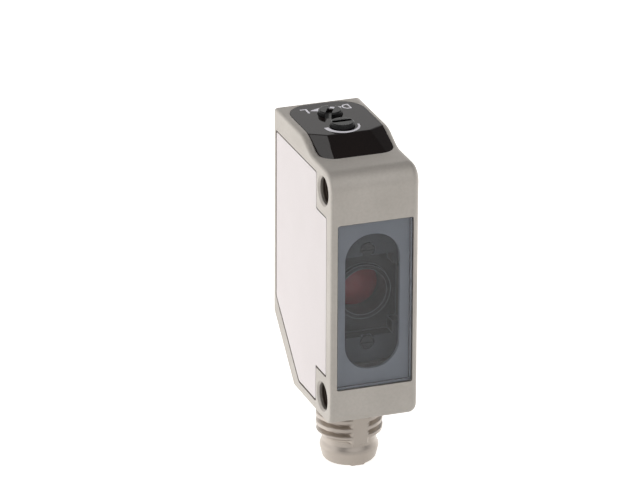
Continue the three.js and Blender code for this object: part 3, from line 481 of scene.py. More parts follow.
cover_low, cover_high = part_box("side_cover")
window_low, window_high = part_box("front_window")
mask_low, mask_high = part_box("window_mask")
display_low, display_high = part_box("display_window")
gasket_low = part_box("display_gasket")[0]
glue_gap = 0.05 * mm
wall = 1.1 * mm
cover_seat = 0.7 * mm
cavity_front = 2.7 * mm
combine(case, cover_outline("recess", 0, body_low.x - over, cover_high.x + glue_gap))
cavity = cover_outline("cavity", cover_seat, body_low.x - over, body_high.x - wall, cavity_front)
combine(case, cavity)
window_fit = 0.1 * mm
pocket_corner = 0.25 * mm
grow = Vector((window_fit, 0, window_fit))
pocket = rounded_block(
    "window_pocket",
    Vector((window_low.x, front - over, window_low.z)) - grow,
    Vector((window_high.x, mask_high.y + glue_gap, window_high.z)) + grow,
    "Y",
    all_round(pocket_corner),
)
combine(case, pocket)
window_seat = 0.65 * mm
opening_corner = 0.2 * mm
seat = Vector((window_seat, 0, window_seat))
opening = rounded_block(
    "window_opening",
    Vector((window_low.x, front, window_low.z)) + seat,
    Vector((window_high.x, front + cavity_front + opening_corner, window_high.z)) - seat,
    "Y",
    all_round(opening_corner),
)
combine(case, opening)
display_front_radius = 1.9 * mm
display_back_radius = 3.0 * mm
display_ledge = 0.75 * mm


def display_outline(name, inset, z_low, z_high):
    """A block with the display window's plan: wide round back corners, narrower front ones."""
    r_front, r_back = display_front_radius - inset, display_back_radius - inset
    margin = Vector((inset, inset, 0))
    low = Vector((display_low.x, display_low.y, z_low)) + margin
    high = Vector((display_high.x, display_high.y, z_high)) - margin
    return rounded_block(name, low, high, "Z", (
        (-1, -1, r_front), (1, -1, r_front), (1, 1, r_back), (-1, 1, r_back),
    ))


combine(case, display_outline("display_seat", -glue_gap, gasket_low.z - glue_gap, top + over))
combine(case, display_outline("display_opening", display_ledge, gasket_low.z - 2 * over, top + over))
stem_hole_radius = 3.05 * mm
plug_low, plug_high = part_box("plug_shell")
plug_axis = (plug_low + plug_high) / 2
combine(case, rod("stem_hole", (plug_axis.x, plug_axis.y, foot), stem_hole_radius, 3 * over))
for height in hole_heights:
    drill = rod("m3_hole", (-case_width / 2, 0, height), hole_radius, case_width + 2 * over, "X")
    work_on(drill)
    for depth in (hole_chamfer, bore_mouth):
        slice_off((body_low.x + depth, 0, 0), (1, 0, 0), keep_both=True)
        slice_off((body_high.x - depth, 0, 0), (1, 0, 0), keep_both=True)
    spread = (hole_radius + hole_chamfer + over) / hole_radius
    choose("verts", lambda p, n: p.x < body_low.x - hair or p.x > body_high.x + hair)
    bpy.ops.transform.resize(value=(1, spread, spread), center_override=(0, 0, height))
    leave()
    combine(case, drill)
smooth(case)


def clouds(tree, place, size, detail, tones):
    """Soft clouds of a size, as a value from 0 to 1 and as a colour between two close tones."""
    noise = add_node(tree, "TexNoise", {"Vector": place, "Scale": 1 / size, "Detail": detail})
    tone = add_node(tree, "Mix", {
        0: noise.outputs["Fac"], 6: linear(tones[0]), 7: linear(tones[1]),
    }, data_type="RGBA")
    return noise.outputs["Fac"], tone.outputs[2]


def edge_wear_and_highlight(tree, tone, colour, width, flat, sharp, most):
    """A tone with another colour along the real edges, and the normal rounded over that width. The colour is
    wear on the label film and a painted highlight on the holder. On the steel it is a painted highlight
    along with rubbed wear. The colour's share grows to its most as the cosine between the two normals falls
    to sharp."""
    rounded = add_node(tree, "Bevel", {"Radius": width}, samples=4).outputs[0]
    true = add_node(tree, "NewGeometry").outputs["Normal"]
    facing = add_node(tree, "VectorMath", {0: rounded, 1: true}, operation="DOT_PRODUCT")
    share = add_node(tree, "MapRange", {
        "Value": facing.outputs["Value"], "From Min": flat, "From Max": sharp, "To Min": 0.0, "To Max": most,
    })
    edged = add_node(tree, "Mix", {
        0: share.outputs[0], 6: tone, 7: linear(colour),
    }, data_type="RGBA")
    return edged.outputs[2], rounded


steel, tree, place, surface = new_material("bead_blasted_stainless_steel")
# Bead blasting leaves fine round dents, drawn 0.16 mm across so that they show, and an even satin grey. The
# edges are painted a little brighter: a painted highlight along them, partly the rub of handling.
cloud, tone = clouds(tree, place, 6 * mm, 4.0, ("c0bbb5", "b5b0aa"))
dents = add_node(tree, "TexVoronoi", {"Vector": place, "Scale": 1 / (0.16 * mm)})
speckle = add_node(tree, "TexNoise", {"Vector": place, "Scale": 1 / (0.3 * mm), "Detail": 2.0})
fleck = add_node(tree, "MapRange", {
    "Value": speckle.outputs["Fac"], "From Min": 0.35, "From Max": 0.7, "To Min": 0.0, "To Max": 0.22,
})
toned = add_node(tree, "Mix", {
    0: fleck.outputs[0], 6: tone, 7: linear("a49f98"),
}, data_type="RGBA")
# The paler d6d0cb along the edges is a painted highlight, partly rubbed wear.
edged, rounded = edge_wear_and_highlight(tree, toned.outputs[2], "d6d0cb", 0.14 * mm, 1.0, 0.86, 0.7)
rough = add_node(tree, "MapRange", {
    "Value": cloud, "From Min": 0.3, "From Max": 0.7, "To Min": 0.5, "To Max": 0.58,
})
bump = add_node(tree, "Bump", {
    "Height": dents.outputs["Distance"], "Strength": 0.12, "Distance": 0.02 * mm,
    "Normal": rounded,
})
add_node(tree, "BsdfPrincipled", {
    "Base Color": edged,
    "Roughness": rough.outputs[0],
    "Normal": bump.outputs[0],
    "Metallic": 0.85,
}, to=surface)
case.data.materials.append(steel)
bore, tree, place, surface = new_material("oxidised_bore_steel")
# The bores are left as drilled: dark, oily and finely ringed.
drill_rings = add_node(tree, "TexWave", {
    "Vector": place, "Scale": 1 / (1.1 * mm), "Distortion": 0.6,
}, wave_type="BANDS", bands_direction="X")
tone = add_node(tree, "Mix", {
    0: drill_rings.outputs["Fac"], 6: linear("4c443e"), 7: linear("786c62"),
}, data_type="RGBA")
bump = add_node(tree, "Bump", {
    "Height": drill_rings.outputs["Fac"], "Strength": 0.4, "Distance": 0.05 * mm,
})
add_node(tree, "BsdfPrincipled", {
    "Base Color": tone.outputs[2], "Roughness": 0.35, "Normal": bump.outputs[0], "Metallic": 0.6,
}, to=surface)
case.data.materials.append(bore)
for polygon in case.data.polygons:
    near = min(math.hypot(polygon.center.y, polygon.center.z - height) for height in hole_heights)
    inside = body_low.x + bore_mouth < polygon.center.x < body_high.x - bore_mouth
    if near < hole_radius * 1.02 and abs(polygon.normal.x) < 0.1 and inside:
        polygon.material_index = 1
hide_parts("case")
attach(case, "housing")


# -------------------- side cover and label
# A stamped steel cover is glued into the recess on the label side, with a fine groove left
# round it. A white printed film covers it from edge to edge.
def give(piece, material, slot, body, *nodes):
    """Finishes a piece: its material, the body it belongs to and what it replaces. The slot is not used."""
    piece.data.materials.clear()
    piece.data.materials.append(material)
    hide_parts(*nodes)
    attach(piece, body)


groove = 0.16 * mm
label_margin = 0.06 * mm
cover = cover_outline("side_cover_plate", groove, cover_low.x, cover_high.x)
soften(cover, width=0.06 * mm)
smooth(cover)
give(cover, steel, "stainless_steel", "housing", "side_cover")

label_low, label_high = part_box("side_label")
label = cover_outline("side_label_film", groove + label_margin, label_low.x, label_high.x)
soften(label, width=0.03 * mm)
smooth(label)
film, tree, place, surface = new_material("matt_laminated_polyester_film")
# The film is a matt laminate: soft grey-white, faintly mottled where the adhesive under it
# is uneven, and slightly greyer at its cut edge.
tone = clouds(tree, place, 4 * mm, 5.0, ("d9d2d2", "dfd8d9"))[1]
tooth = add_node(tree, "TexNoise", {"Vector": place, "Scale": 1 / (0.25 * mm), "Detail": 3.0})
edged = edge_wear_and_highlight(tree, tone, "cfc8c6", 0.25 * mm, 0.99, 0.8, 0.35)[0]
rough = add_node(tree, "MapRange", {
    "Value": tooth.outputs["Fac"], "From Min": 0.3, "From Max": 0.7, "To Min": 0.42, "To Max": 0.55,
})
bump = add_node(tree, "Bump", {
    "Height": tooth.outputs["Fac"], "Strength": 0.08, "Distance": 0.01 * mm,
})
add_node(tree, "BsdfPrincipled", {
    "Base Color": edged, "Roughness": rough.outputs[0], "Normal": bump.outputs[0],
    "IOR": 1.5, "Specular IOR Level": 0.4,
}, to=surface)
give(label, film, "label_film", "housing", "side_label")


# -------------------- front window and mask
# The window is a flat pane of smoke grey acrylic glued into the front recess. Behind it a
# moulded grey mask leaves a long round-ended opening for the optics.
window_corner = 0.15 * mm
pane = rounded_block("front_window_pane", window_low, window_high, "Y", all_round(window_corner))
soften(pane, width=0.05 * mm)
smooth(pane)
acrylic, tree, place, surface = new_material("cast_smoke_acrylic")
# Cast acrylic is glossy and clear, with the faintest waviness and a few fine wiping marks.
haze, tone = clouds(tree, place, 3 * mm, 3.0, ("d4d6da", "cdd0d5"))
rough = add_node(tree, "MapRange", {
    "Value": haze, "From Min": 0.3, "From Max": 0.7, "To Min": 0.0, "To Max": 0.02,
})
bump = add_node(tree, "Bump", {
    "Height": haze, "Strength": 0.05, "Distance": 0.01 * mm,
})
add_node(tree, "BsdfPrincipled", {
    "Base Color": tone, "Roughness": rough.outputs[0], "Normal": bump.outputs[0],
    "IOR": 1.49, "Transmission Weight": 1.0, "Specular IOR Level": 0.1,
}, to=surface)
give(pane, acrylic, "tinted_acrylic", "housing", "front_window")

mask = rounded_block("window_mask_plate", mask_low, mask_high, "Y", all_round(window_corner))
side_margin, end_margin, aperture_radius = 1.2 * mm, 1.8 * mm, 3.1 * mm
inwards = Vector((side_margin, 0, end_margin))
through = Vector((0, over, 0))
aperture_low, aperture_high = mask_low + inwards - through, mask_high - inwards + through
aperture = rounded_block("aperture", aperture_low, aperture_high, "Y", all_round(aperture_radius))
combine(mask, aperture)
soften(mask, width=0.08 * mm)
smooth(mask)


def moulded(name, tones, grain, roughness, relief=0.1, ior=1.5, edge=None):
    """Moulded plastic: two close tones in soft clouds, a fine tool grain and its gloss. An edge is (colour,
    width) of a paler line painted along the real edges as a painted highlight."""
    material, tree, place, surface = new_material(name)
    tone = clouds(tree, place, grain * 14, 4.0, tones)[1]
    pits = add_node(tree, "TexNoise", {"Vector": place, "Scale": 1 / grain, "Detail": 2.0})
    rough = add_node(tree, "MapRange", {
        "Value": pits.outputs["Fac"], "From Min": 0.3, "From Max": 0.7,
        "To Min": roughness[0], "To Max": roughness[1],
    })
    bump = add_node(tree, "Bump", {
        "Height": pits.outputs["Fac"], "Strength": relief, "Distance": grain * 0.2,
    })
    if edge:
        tone = edge_wear_and_highlight(tree, tone, edge[0], edge[1], 0.99, 0.85, 1.0)[0]
    add_node(tree, "BsdfPrincipled", {
        "Base Color": tone, "Roughness": rough.outputs[0], "Normal": bump.outputs[0], "IOR": ior,
    }, to=surface)
    return material


# Moulded ABS with a fine eroded grain of about 0.2 mm: an even blue grey.
mask_abs = moulded("eroded_grain_grey_abs", ("d2d6dd", "c9ced6"), 0.2 * mm, (0.5, 0.62))
give(mask, mask_abs, "mask_plastic", "housing", "window_mask")


# -------------------- receiving optics
# A black moulded holder carries the red lens in a short barrel and is held by two small
# blackened screws. The light falls through a stop on the photodiode behind.
def finish_nodes(material, *names):
    """Gives CAD nodes that keep their shape a material."""
    for name in names:
        for place_of_material in frame["nodes"][name].material_slots:
            place_of_material.material = material


# Glass filled PBT: matt black, with paler lines painted along its edges as painted highlights.
holder_pbt = moulded(
    "glass_filled_black_pbt", ("19191b", "121214"), 0.15 * mm, (0.35, 0.5), 0.2, edge=("b4b8c0", 0.2 * mm)
)
bpy.ops.object.select_all(action="DESELECT")
moulding = frame["nodes"]["optics_holder"].copy()
moulding.data = moulding.data.copy()
moulding.name = "optics_holder_moulding"
moulding.parent = None
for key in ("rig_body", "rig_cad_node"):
    del moulding[key]
scene.collection.objects.link(moulding)
work_on(moulding)
bpy.ops.mesh.select_all(action="SELECT")
bpy.ops.mesh.remove_doubles(threshold=weld)
merge_flats()
leave()
soften(moulding, width=0.07 * mm, angle=50)
smooth(moulding)
give(moulding, holder_pbt, "black_plastic", "housing", "optics_holder")
# The flanges' front faces, just behind the pane, are painted a paler grey: painted light for the light that
# falls on them through the window.
flange_face_painted_light_pbt = moulded("black_pbt_with_painted_light_on_flange_faces", ("666a70", "46494f"), 0.15 * mm, (0.5, 0.6), 0.2)
moulding.data.materials.append(flange_face_painted_light_pbt)
flange_depth = 0.5 * mm
holder_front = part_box("optics_holder")[0].y
for polygon in moulding.data.polygons:
    if polygon.normal.y < -0.9 and polygon.center.y < holder_front + flange_depth:
        polygon.material_index = 1
blackened = moulded("blackened_steel", ("2a2a2c", "222224"), 0.1 * mm, (0.3, 0.45), 0.15)
finish_nodes(blackened, "holder_screw_lower", "holder_screw_upper")

lens_low, lens_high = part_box("receiver_lens")
lens_middle = (lens_low + lens_high) / 2
lens_radius = (lens_high.x - lens_low.x) / 2
lens_crown = 0.7 * mm
lens_disc = rod("receiver_lens_red", lens_middle, lens_radius, lens_high.y - lens_low.y, "Y", 72)
work_on(lens_disc)
choose("faces", lambda p, n: n.y < -0.9)
rings = 8
for _ in range(rings):
    bpy.ops.mesh.inset(thickness=lens_radius / (rings + 1), depth=0)
leave()
for point in lens_disc.data.vertices:
    if at(point.co.y, lens_low.y):
        reach = math.hypot(point.co.x - lens_middle.x, point.co.z - lens_middle.z) / lens_radius
        point.co.y = lens_low.y + lens_crown * reach ** 2
smooth(lens_disc, 40)
red, tree, place, surface = new_material("moulded_red_filter_acrylic")
# Filter acrylic passes only red: dark where it is seen through, and bright red at the rim
# where light gathers.
swirl, tone = clouds(tree, place, 1.5 * mm, 3.0, ("e81822", "b8121a"))
rough = add_node(tree, "MapRange", {
    "Value": swirl, "From Min": 0.3, "From Max": 0.7, "To Min": 0.03, "To Max": 0.08,
})
add_node(tree, "BsdfPrincipled", {
    "Base Color": tone, "Roughness": rough.outputs[0],
    "IOR": 1.49, "Transmission Weight": 0.25, "Coat Weight": 0.3, "Coat Roughness": 0.03,
}, to=surface)
give(lens_disc, red, "red_lens", "housing", "receiver_lens")


# -------------------- display window
# One dark glossy polycarbonate moulding covers the indicators on top. Its front falls away
# in three facets, two holes let the adjusters through, and white marks are printed on it.
display = display_outline("display_cover", 0, display_low.z, display_high.z)
ridge_half = 2.6 * mm
foot_half = 3.15 * mm
ridge_from_back = 9.9 * mm
hip_from_back = 8.8 * mm
front_drop = 1.5 * mm
knob_clearance = 0.08 * mm
ridge_softness = 0.14 * mm
display_middle = (display_low.x + display_high.x) / 2
face = display_high.z
ridge_y = display_high.y - ridge_from_back
hip_y = display_high.y - hip_from_back


def facet_normal(a, b, c):
    """The upward normal of the plane through three points."""
    normal = (b - a).cross(c - a)
    return normal if normal.z > 0 else -normal


ridge = [Vector((display_middle + side * ridge_half, ridge_y, face)) for side in (-1, 1)]
toe = [
    Vector((display_middle + side * foot_half, display_low.y, face - front_drop)) for side in (-1, 1)
]
hip = [Vector((x, hip_y, face)) for x in (display_low.x, display_high.x)]
work_on(display)
slice_off(ridge[0], facet_normal(ridge[0], ridge[1], toe[1]))
for side in (0, 1):
    slice_off(ridge[side], facet_normal(ridge[side], hip[side], toe[side]))


def between_facets(p, d):
    """True for an edge on one of the five lines where the top and the facets meet."""
    for ends in [ridge] + [[ridge[side], end[side]] for side in (0, 1) for end in (hip, toe)]:
        along = (ends[1] - ends[0]).normalized()
        if (p - ends[0]).cross(along).length < 2 * hair and abs(d.dot(along)) > 0.99:
            return True
    return False


choose("edges", between_facets)
bpy.ops.mesh.bevel(offset=ridge_softness, segments=3, affect="EDGES")
leave()
sensitivity_low, sensitivity_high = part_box("sensitivity_knob")
mode_low, mode_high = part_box("mode_knob")
knob_radius = (sensitivity_high.x - sensitivity_low.x) / 2
sensitivity_centre = (sensitivity_low + sensitivity_high) / 2
mode_centre = (mode_low + mode_high) / 2
adjuster_hole_radius = knob_radius + knob_clearance
for centre in (sensitivity_centre, mode_centre):
    hole = rod("adjuster_hole", (centre.x, centre.y, face), adjuster_hole_radius, 4 * over, sides=72)
    combine(display, hole)
soften(display, width=0.05 * mm, angle=50)
smooth(display, 25)
smoke, tree, place, surface = new_material("polished_smoke_polycarbonate")
# Deep red-black polycarbonate with a polished face: nearly black, a warm tint where light
# passes through, a hard clear shine and a trace of wiping marks.
wipe = add_node(tree, "Mapping", {"Vector": place, "Scale": (1, 0.25, 1)})
marks = add_node(tree, "TexNoise", {
    "Vector": wipe.outputs[0], "Scale": 1 / (0.5 * mm), "Detail": 4.0,
})
tone = clouds(tree, place, 4 * mm, 2.0, ("1c1311", "120d0d"))[1]
rough = add_node(tree, "MapRange", {
    "Value": marks.outputs["Fac"], "From Min": 0.35, "From Max": 0.7, "To Min": 0.07, "To Max": 0.13,
})
bump = add_node(tree, "Bump", {
    "Height": marks.outputs["Fac"], "Strength": 0.03, "Distance": 0.01 * mm,
})
add_node(tree, "BsdfPrincipled", {
    "Base Color": tone, "Roughness": rough.outputs[0], "Normal": bump.outputs[0],
    "IOR": 1.52, "Specular IOR Level": 0.22, "Transmission Weight": 0.08,
}, to=surface)
give(display, smoke, "display_plastic", "housing", "display_window")

print_depth = 0.03 * mm
mark_row = display_high.y - 1.95 * mm
letter_size = 2.0 * mm
stroke_swell = 0.02 * mm
dot_length, dot_width, dot_turn = 0.55 * mm, 0.5 * mm, 0.6
arc_radius, arc_shift = 2.12 * mm, -0.08 * mm
arc_hole_radius, arc_hole_shift, arc_hole_depth = 1.74 * mm, (0.07 * mm, 0.05 * mm), 3 * mm
arc_end = 0.1 * mm


def letter(name, body_text, x, y, breadth):
    """A printed letter that reads from the back, its middle at x and y, narrowed to a breadth."""
    bpy.ops.object.select_all(action="DESELECT")
    bpy.ops.object.text_add(location=(x, y, face), rotation=(0, 0, math.pi))
    glyph = bpy.context.object
    glyph.data.body = body_text
    glyph.data.size = letter_size
    glyph.data.align_x = "CENTER"
    glyph.data.align_y = "CENTER"
    glyph.data.extrude = print_depth / 2
    glyph.data.offset = stroke_swell
    glyph.scale = (breadth, 1, 1)
    bpy.ops.object.convert(target="MESH")
    return placed(name)


def dash(name, centre, length, start_width, end_width, turn):
    """A flat printed stroke that tapers from one end to the other."""
    x, y = centre
    low = (x - length / 2, y - start_width / 2, face - print_depth / 2)
    high = (x + length / 2, y + start_width / 2, face + print_depth / 2)
    stroke = block(name, low, high)
    work_on(stroke)
    choose("verts", lambda p, n: p.x > x)
    bpy.ops.transform.resize(value=(1, end_width / start_width, 1), center_override=(x, y, face))
    bpy.ops.mesh.select_all(action="SELECT")
    bpy.ops.transform.rotate(value=turn, orient_axis="Z", center_override=(x, y, face))
    leave()
    return stroke


sensitivity_arc = rod(
    "sensitivity_arc",
    (sensitivity_centre.x + arc_shift, sensitivity_centre.y, face),
    arc_radius,
    print_depth,
    sides=96,
)
arc_hole = rod(
    "arc_hole",
    (sensitivity_centre.x + arc_hole_shift[0], sensitivity_centre.y + arc_hole_shift[1], face),
    arc_hole_radius,
    arc_hole_depth,
    sides=96,
)
combine(sensitivity_arc, arc_hole)
work_on(sensitivity_arc)
slice_off((sensitivity_centre.x, sensitivity_centre.y + arc_end, face), (0, 1, 0))
leave()
pointer_at = (display_low.x + 3.3 * mm, mark_row - 0.1 * mm)
inner_dot_at = (display_high.x - 3.6 * mm, mark_row + 0.1 * mm)
outer_dot_at = (display_high.x - 2.85 * mm, mark_row)
marks_made = [
    sensitivity_arc,
    letter("mark_light_on", "L", display_low.x + 2.05 * mm, mark_row, 1.0),
    letter("mark_dark_on", "D", display_high.x - 1.95 * mm, mark_row, 0.75),
    dash("mark_pointer", pointer_at, 1.2 * mm, 0.15 * mm, 1.1 * mm, 0.0),
    dash("mark_dot_inner", inner_dot_at, dot_length, dot_width, dot_width, dot_turn),
    dash("mark_dot_outer", outer_dot_at, dot_length, dot_width, dot_width, dot_turn),
]
ink, tree, place, surface = new_material("pad_printed_white_ink")
# Pad printed ink is a thin matt white film with tiny pinholes in it.
pinholes = add_node(tree, "TexNoise", {"Vector": place, "Scale": 1 / (0.12 * mm), "Detail": 2.0})
cover_up = add_node(tree, "MapRange", {
    "Value": pinholes.outputs["Fac"], "From Min": 0.3, "From Max": 0.45, "To Min": 0.6, "To Max": 1.0,
})
tone = add_node(tree, "Mix", {
    0: cover_up.outputs[0], 6: linear("b4b2b6"), 7: linear("eceaf2"),
}, data_type="RGBA")
bump = add_node(tree, "Bump", {
    "Height": pinholes.outputs["Fac"], "Strength": 0.1, "Distance": 0.01 * mm,
})
add_node(tree, "BsdfPrincipled", {
    "Base Color": tone.outputs[2], "Roughness": 0.55, "Normal": bump.outputs[0],
}, to=surface)
for mark in marks_made:
    smooth(mark)
    mark.data.materials.clear()
    mark.data.materials.append(ink)
    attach(mark, "housing")


# -------------------- adjusters
# The sensitivity trimmer and the mode selector are turned acetal knobs. The first has a
# straight screwdriver slot inside its rim; the second has a slot cut right across it.
slot_width = 0.55 * mm
slot_depth = 0.6 * mm
blade = Vector((1.5, 0.5, 0.4)) * mm
oring_low, oring_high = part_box("sensitivity_oring")
blade_root = 0.1 * mm
oring_width = 0.4 * mm
oring_gap = 0.05 * mm
crown_round = 0.2 * mm


def knob(name, centre, low, high):
    """The turned knob: a stem with its seal groove and a chamfered crown, with room left below it for the
    drive blade.
    """
    stem_foot = low.z + blade.z
    middle = Vector((centre.x, centre.y, (stem_foot + high.z) / 2))
    piece = rod(name, middle, knob_radius, high.z - stem_foot, sides=72)
    work_on(piece)
    for height in (oring_low.z - oring_gap, oring_high.z + oring_gap):
        slice_off((0, 0, height), (0, 0, 1), keep_both=True)
    choose("faces", lambda p, n: abs(n.z) < 0.1 and oring_low.z < p.z < oring_high.z)
    bpy.ops.mesh.extrude_region_shrink_fatten(TRANSFORM_OT_shrink_fatten={"value": -oring_width})
    choose("faces", lambda p, n: n.z > 0.9 and at(p.z, high.z))
    bpy.ops.mesh.region_to_loop()
    bpy.ops.mesh.bevel(offset=crown_round, segments=4, affect="EDGES", clamp_overlap=False)
    leave()
    return piece


sensitivity = knob("sensitivity_trimmer", sensitivity_centre, sensitivity_low, sensitivity_high)
slot_reach = knob_radius * 0.82
slot_corner = 0.25 * mm
half_slot = Vector((slot_reach, slot_width / 2, slot_depth))
crown = Vector((sensitivity_centre.x, sensitivity_centre.y, sensitivity_high.z))
slot_shift = 0.2 * mm
slot_centre = crown + Vector((0, slot_shift, 0))
slot_low, slot_high = slot_centre - half_slot, slot_centre + half_slot
combine(sensitivity, rounded_block("driver_slot", slot_low, slot_high, "Z", all_round(slot_corner)))
half_blade = Vector((blade.x / 2, blade.y / 2, 0))
foot_of_knob = Vector((sensitivity_centre.x, sensitivity_centre.y, sensitivity_low.z))
blade_high = foot_of_knob + half_blade + Vector((0, 0, blade.z + blade_root))
combine(sensitivity, block("drive_blade", foot_of_knob - half_blade, blade_high), "UNION")
soften(sensitivity, width=0.04 * mm)
smooth(sensitivity)

mode = knob("mode_selector_knob", mode_centre, mode_low, mode_high)
mode_turn = math.radians(30)
crown = Vector((mode_centre.x, mode_centre.y, mode_high.z))


def turned_block(name, low, high):
    """A block about the selector's axis, turned clockwise to where it points at rest."""
    made = block(name, crown + Vector(low), crown + Vector(high))
    work_on(made)
    bpy.ops.mesh.select_all(action="SELECT")
    bpy.ops.transform.rotate(value=mode_turn, orient_axis="Z", center_override=crown)
    leave()
    return made


half = slot_width * 0.68
pointer_depth = 0.85 * mm
combine(mode, turned_block("pointer_slot", (-half, -2 * over, -pointer_depth), (half, 2 * over, over)))
blade_low = (-blade.x / 2, -blade.y / 2, mode_low.z - mode_high.z)
blade_high = (blade.x / 2, blade.y / 2, mode_low.z + blade.z + blade_root - mode_high.z)
combine(mode, turned_block("drive_blade", blade_low, blade_high), "UNION")
soften(mode, width=0.04 * mm)
smooth(mode)
# Turned acetal: deep black, softly shiny, with a fine cut to its surface.
acetal = moulded("turned_black_acetal", ("0b0b0c", "121213"), 0.12 * mm, (0.2, 0.34), 0.12, 1.36)
give(sensitivity, acetal, "knob_plastic", "sensitivity_adjuster", "sensitivity_knob")
give(mode, acetal, "knob_plastic", "mode_selector", "mode_knob")

rotor_pa = moulded("moulded_ivory_nylon", ("d9d4c6", "cdc7b8"), 0.1 * mm, (0.4, 0.55))
finish_nodes(rotor_pa, "sensitivity_rotor", "mode_rotor")
base_pbt = moulded("moulded_black_pbt", ("242426", "1d1d1f"), 0.12 * mm, (0.4, 0.55))
finish_nodes(base_pbt, "sensitivity_base", "mode_base")


# -------------------- seals
# A flat gasket seals the display, an O-ring each knob and a ring the plug: black nitrile
# rubber, matt, with a light bloom.
nitrile = moulded("moulded_nitrile_rubber", ("2a2b2d", "1f2022"), 0.08 * mm, (0.65, 0.85), 0.3, 1.52)
finish_nodes(nitrile, "display_gasket", "sensitivity_oring", "mode_oring", "plug_seal")


# -------------------- plug
# The M8 plug is turned from stainless steel: a helical thread with one lengthwise flat, a
# thread relief and a tapered nose. Its stem passes into the case under a lock ring.
crest_radius = 3.9 * mm
root_radius = 3.33 * mm
thread_pitch = 1.04 * mm
first_crest = foot - 2.08 * mm
flat_half = 0.83 * mm
flat_place = 3.81 * mm
bore_radius = 2.75 * mm
stem_radius = 3.0 * mm
thread_top = foot - 0.4 * mm
thread_end = foot - 4.55 * mm
run_out, run_in = 0.25 * mm, 0.35 * mm
tooth_width, tooth_flank = 0.95, 0.6
rib_flank = 0.75 * mm
rib_foot, rib_full = foot - 5.1 * mm, foot - 4.85 * mm
# The turned outline from the tip up: each row is a height and a radius.
outline = [
    (foot - 7.9 * mm, 2.95 * mm),
    (foot - 7.65 * mm, 3.15 * mm),
    (foot - 6.4 * mm, 3.45 * mm),
    (foot - 6.05 * mm, 3.39 * mm),
    (foot - 5.6 * mm, 3.2 * mm),
    (foot - 5.0 * mm, 3.18 * mm),
    (foot - 4.75 * mm, root_radius),
    (foot, root_radius),
]


def outline_radius(z):
    """The turned outline's radius at a height."""
    for (z0, r0), (z1, r1) in zip(outline, outline[1:]):
        if z <= z1:
            return r0 + (r1 - r0) * max(0.0, (z - z0) / (z1 - z0))
    return outline[-1][1]


def ease(value, start, end):
    """0 before start, 1 after end and a smooth step between."""
    share = min(max((value - start) / (end - start), 0.0), 1.0)
    return share * share * (3 - 2 * share)


plug_length = foot - plug_low.z
bpy.ops.object.select_all(action="DESELECT")
bpy.ops.mesh.primitive_cylinder_add(
    vertices=144,
    radius=root_radius,
    depth=plug_length,
    end_fill_type="NOTHING",
    location=(plug_axis.x, plug_axis.y, foot - plug_length / 2),
)
plug = placed("plug_thread")
work_on(plug)
choose("edges", lambda p, d: abs(d.z) > 0.9)
bpy.ops.mesh.subdivide(number_cuts=98)
leave()
for point in plug.data.vertices:
    turn = math.atan2(point.co.y - plug_axis.y, point.co.x - plug_axis.x)
    z = point.co.z
    phase = (z - first_crest) / thread_pitch - (turn + math.pi / 2) / (2 * math.pi)
    from_crest = abs(phase - round(phase)) * 2
    tooth = ease(tooth_width - from_crest, 0.0, tooth_flank)
    cut = ease(z, thread_end - run_out, thread_end + run_in) * (1 - ease(z, thread_top, foot))
    radius = outline_radius(z)
    sideways = abs(math.cos(turn)) * crest_radius
    on_front = math.sin(turn) < 0
    height = (crest_radius - radius) * tooth * cut
    if on_front:
        filled = 1 - ease(sideways, flat_half, flat_half + rib_flank)
        rib = (crest_radius - radius) * ease(z, rib_foot, rib_full) * filled
        height = max(height, rib)
    radius += height
    if on_front:
        radius = min(radius, flat_place / max(abs(math.sin(turn)), 0.05))
    point.co.x = plug_axis.x + math.cos(turn) * radius
    point.co.y = plug_axis.y + math.sin(turn) * radius


def widen(scale):
    """Resizes the chosen ring about the plug's axis."""
    bpy.ops.transform.resize(value=(scale, scale, 1), center_override=(plug_axis.x, plug_axis.y, foot))


work_on(plug)
choose("edges", lambda p, d: at(p.z, foot) and abs(d.z) < 0.1)
bpy.ops.mesh.extrude_region(use_normal_flip=False)
widen(stem_radius / root_radius)
bpy.ops.mesh.extrude_region(use_normal_flip=False)
bpy.ops.transform.translate(value=(0, 0, plug_high.z - foot))
bpy.ops.mesh.extrude_region(use_normal_flip=False)
widen(bore_radius / stem_radius)
bpy.ops.mesh.extrude_region(use_normal_flip=False)
bpy.ops.transform.translate(value=(0, 0, plug_low.z - plug_high.z))
tip_radius = outline[0][1]
choose("edges", lambda p, d: at(p.z, plug_low.z)
       and math.hypot(p.x - plug_axis.x, p.y - plug_axis.y) > (tip_radius + bore_radius) / 2)
bpy.ops.mesh.extrude_region(use_normal_flip=False)
widen(bore_radius / tip_radius)
leave()
smooth(plug, 38)
turned_steel, tree, place, surface = new_material("turned_stainless_steel")
# Turning leaves fine rings about 0.2 mm apart round the axis, over a satin grey that is
# blasted along with the case.
rings_cut = add_node(tree, "TexWave", {
    "Vector": place, "Scale": 1 / (0.6 * mm), "Distortion": 1.0, "Detail": 2.0,
}, wave_type="BANDS", bands_direction="Z")
cloud, tone = clouds(tree, place, 2.5 * mm, 4.0, ("bab2aa", "ada49c"))
rough = add_node(tree, "MapRange", {
    "Value": cloud, "From Min": 0.3, "From Max": 0.7, "To Min": 0.3, "To Max": 0.38,
})
bump = add_node(tree, "Bump", {
    "Height": rings_cut.outputs["Fac"], "Strength": 0.08, "Distance": 0.01 * mm,
})
add_node(tree, "BsdfPrincipled", {
    "Base Color": tone, "Roughness": rough.outputs[0], "Normal": bump.outputs[0], "Metallic": 0.9,
}, to=surface)
give(plug, turned_steel, "stainless_steel", "housing", "plug_shell")
finish_nodes(turned_steel, "plug_lock_ring")


# -------------------- contacts
# Four gold plated brass pins stand in a moulded black insert inside the plug, with a wire
# from each to the main board.
finish_nodes(base_pbt, "plug_insert")
gold, tree, place, surface = new_material("gold_plated_brass")
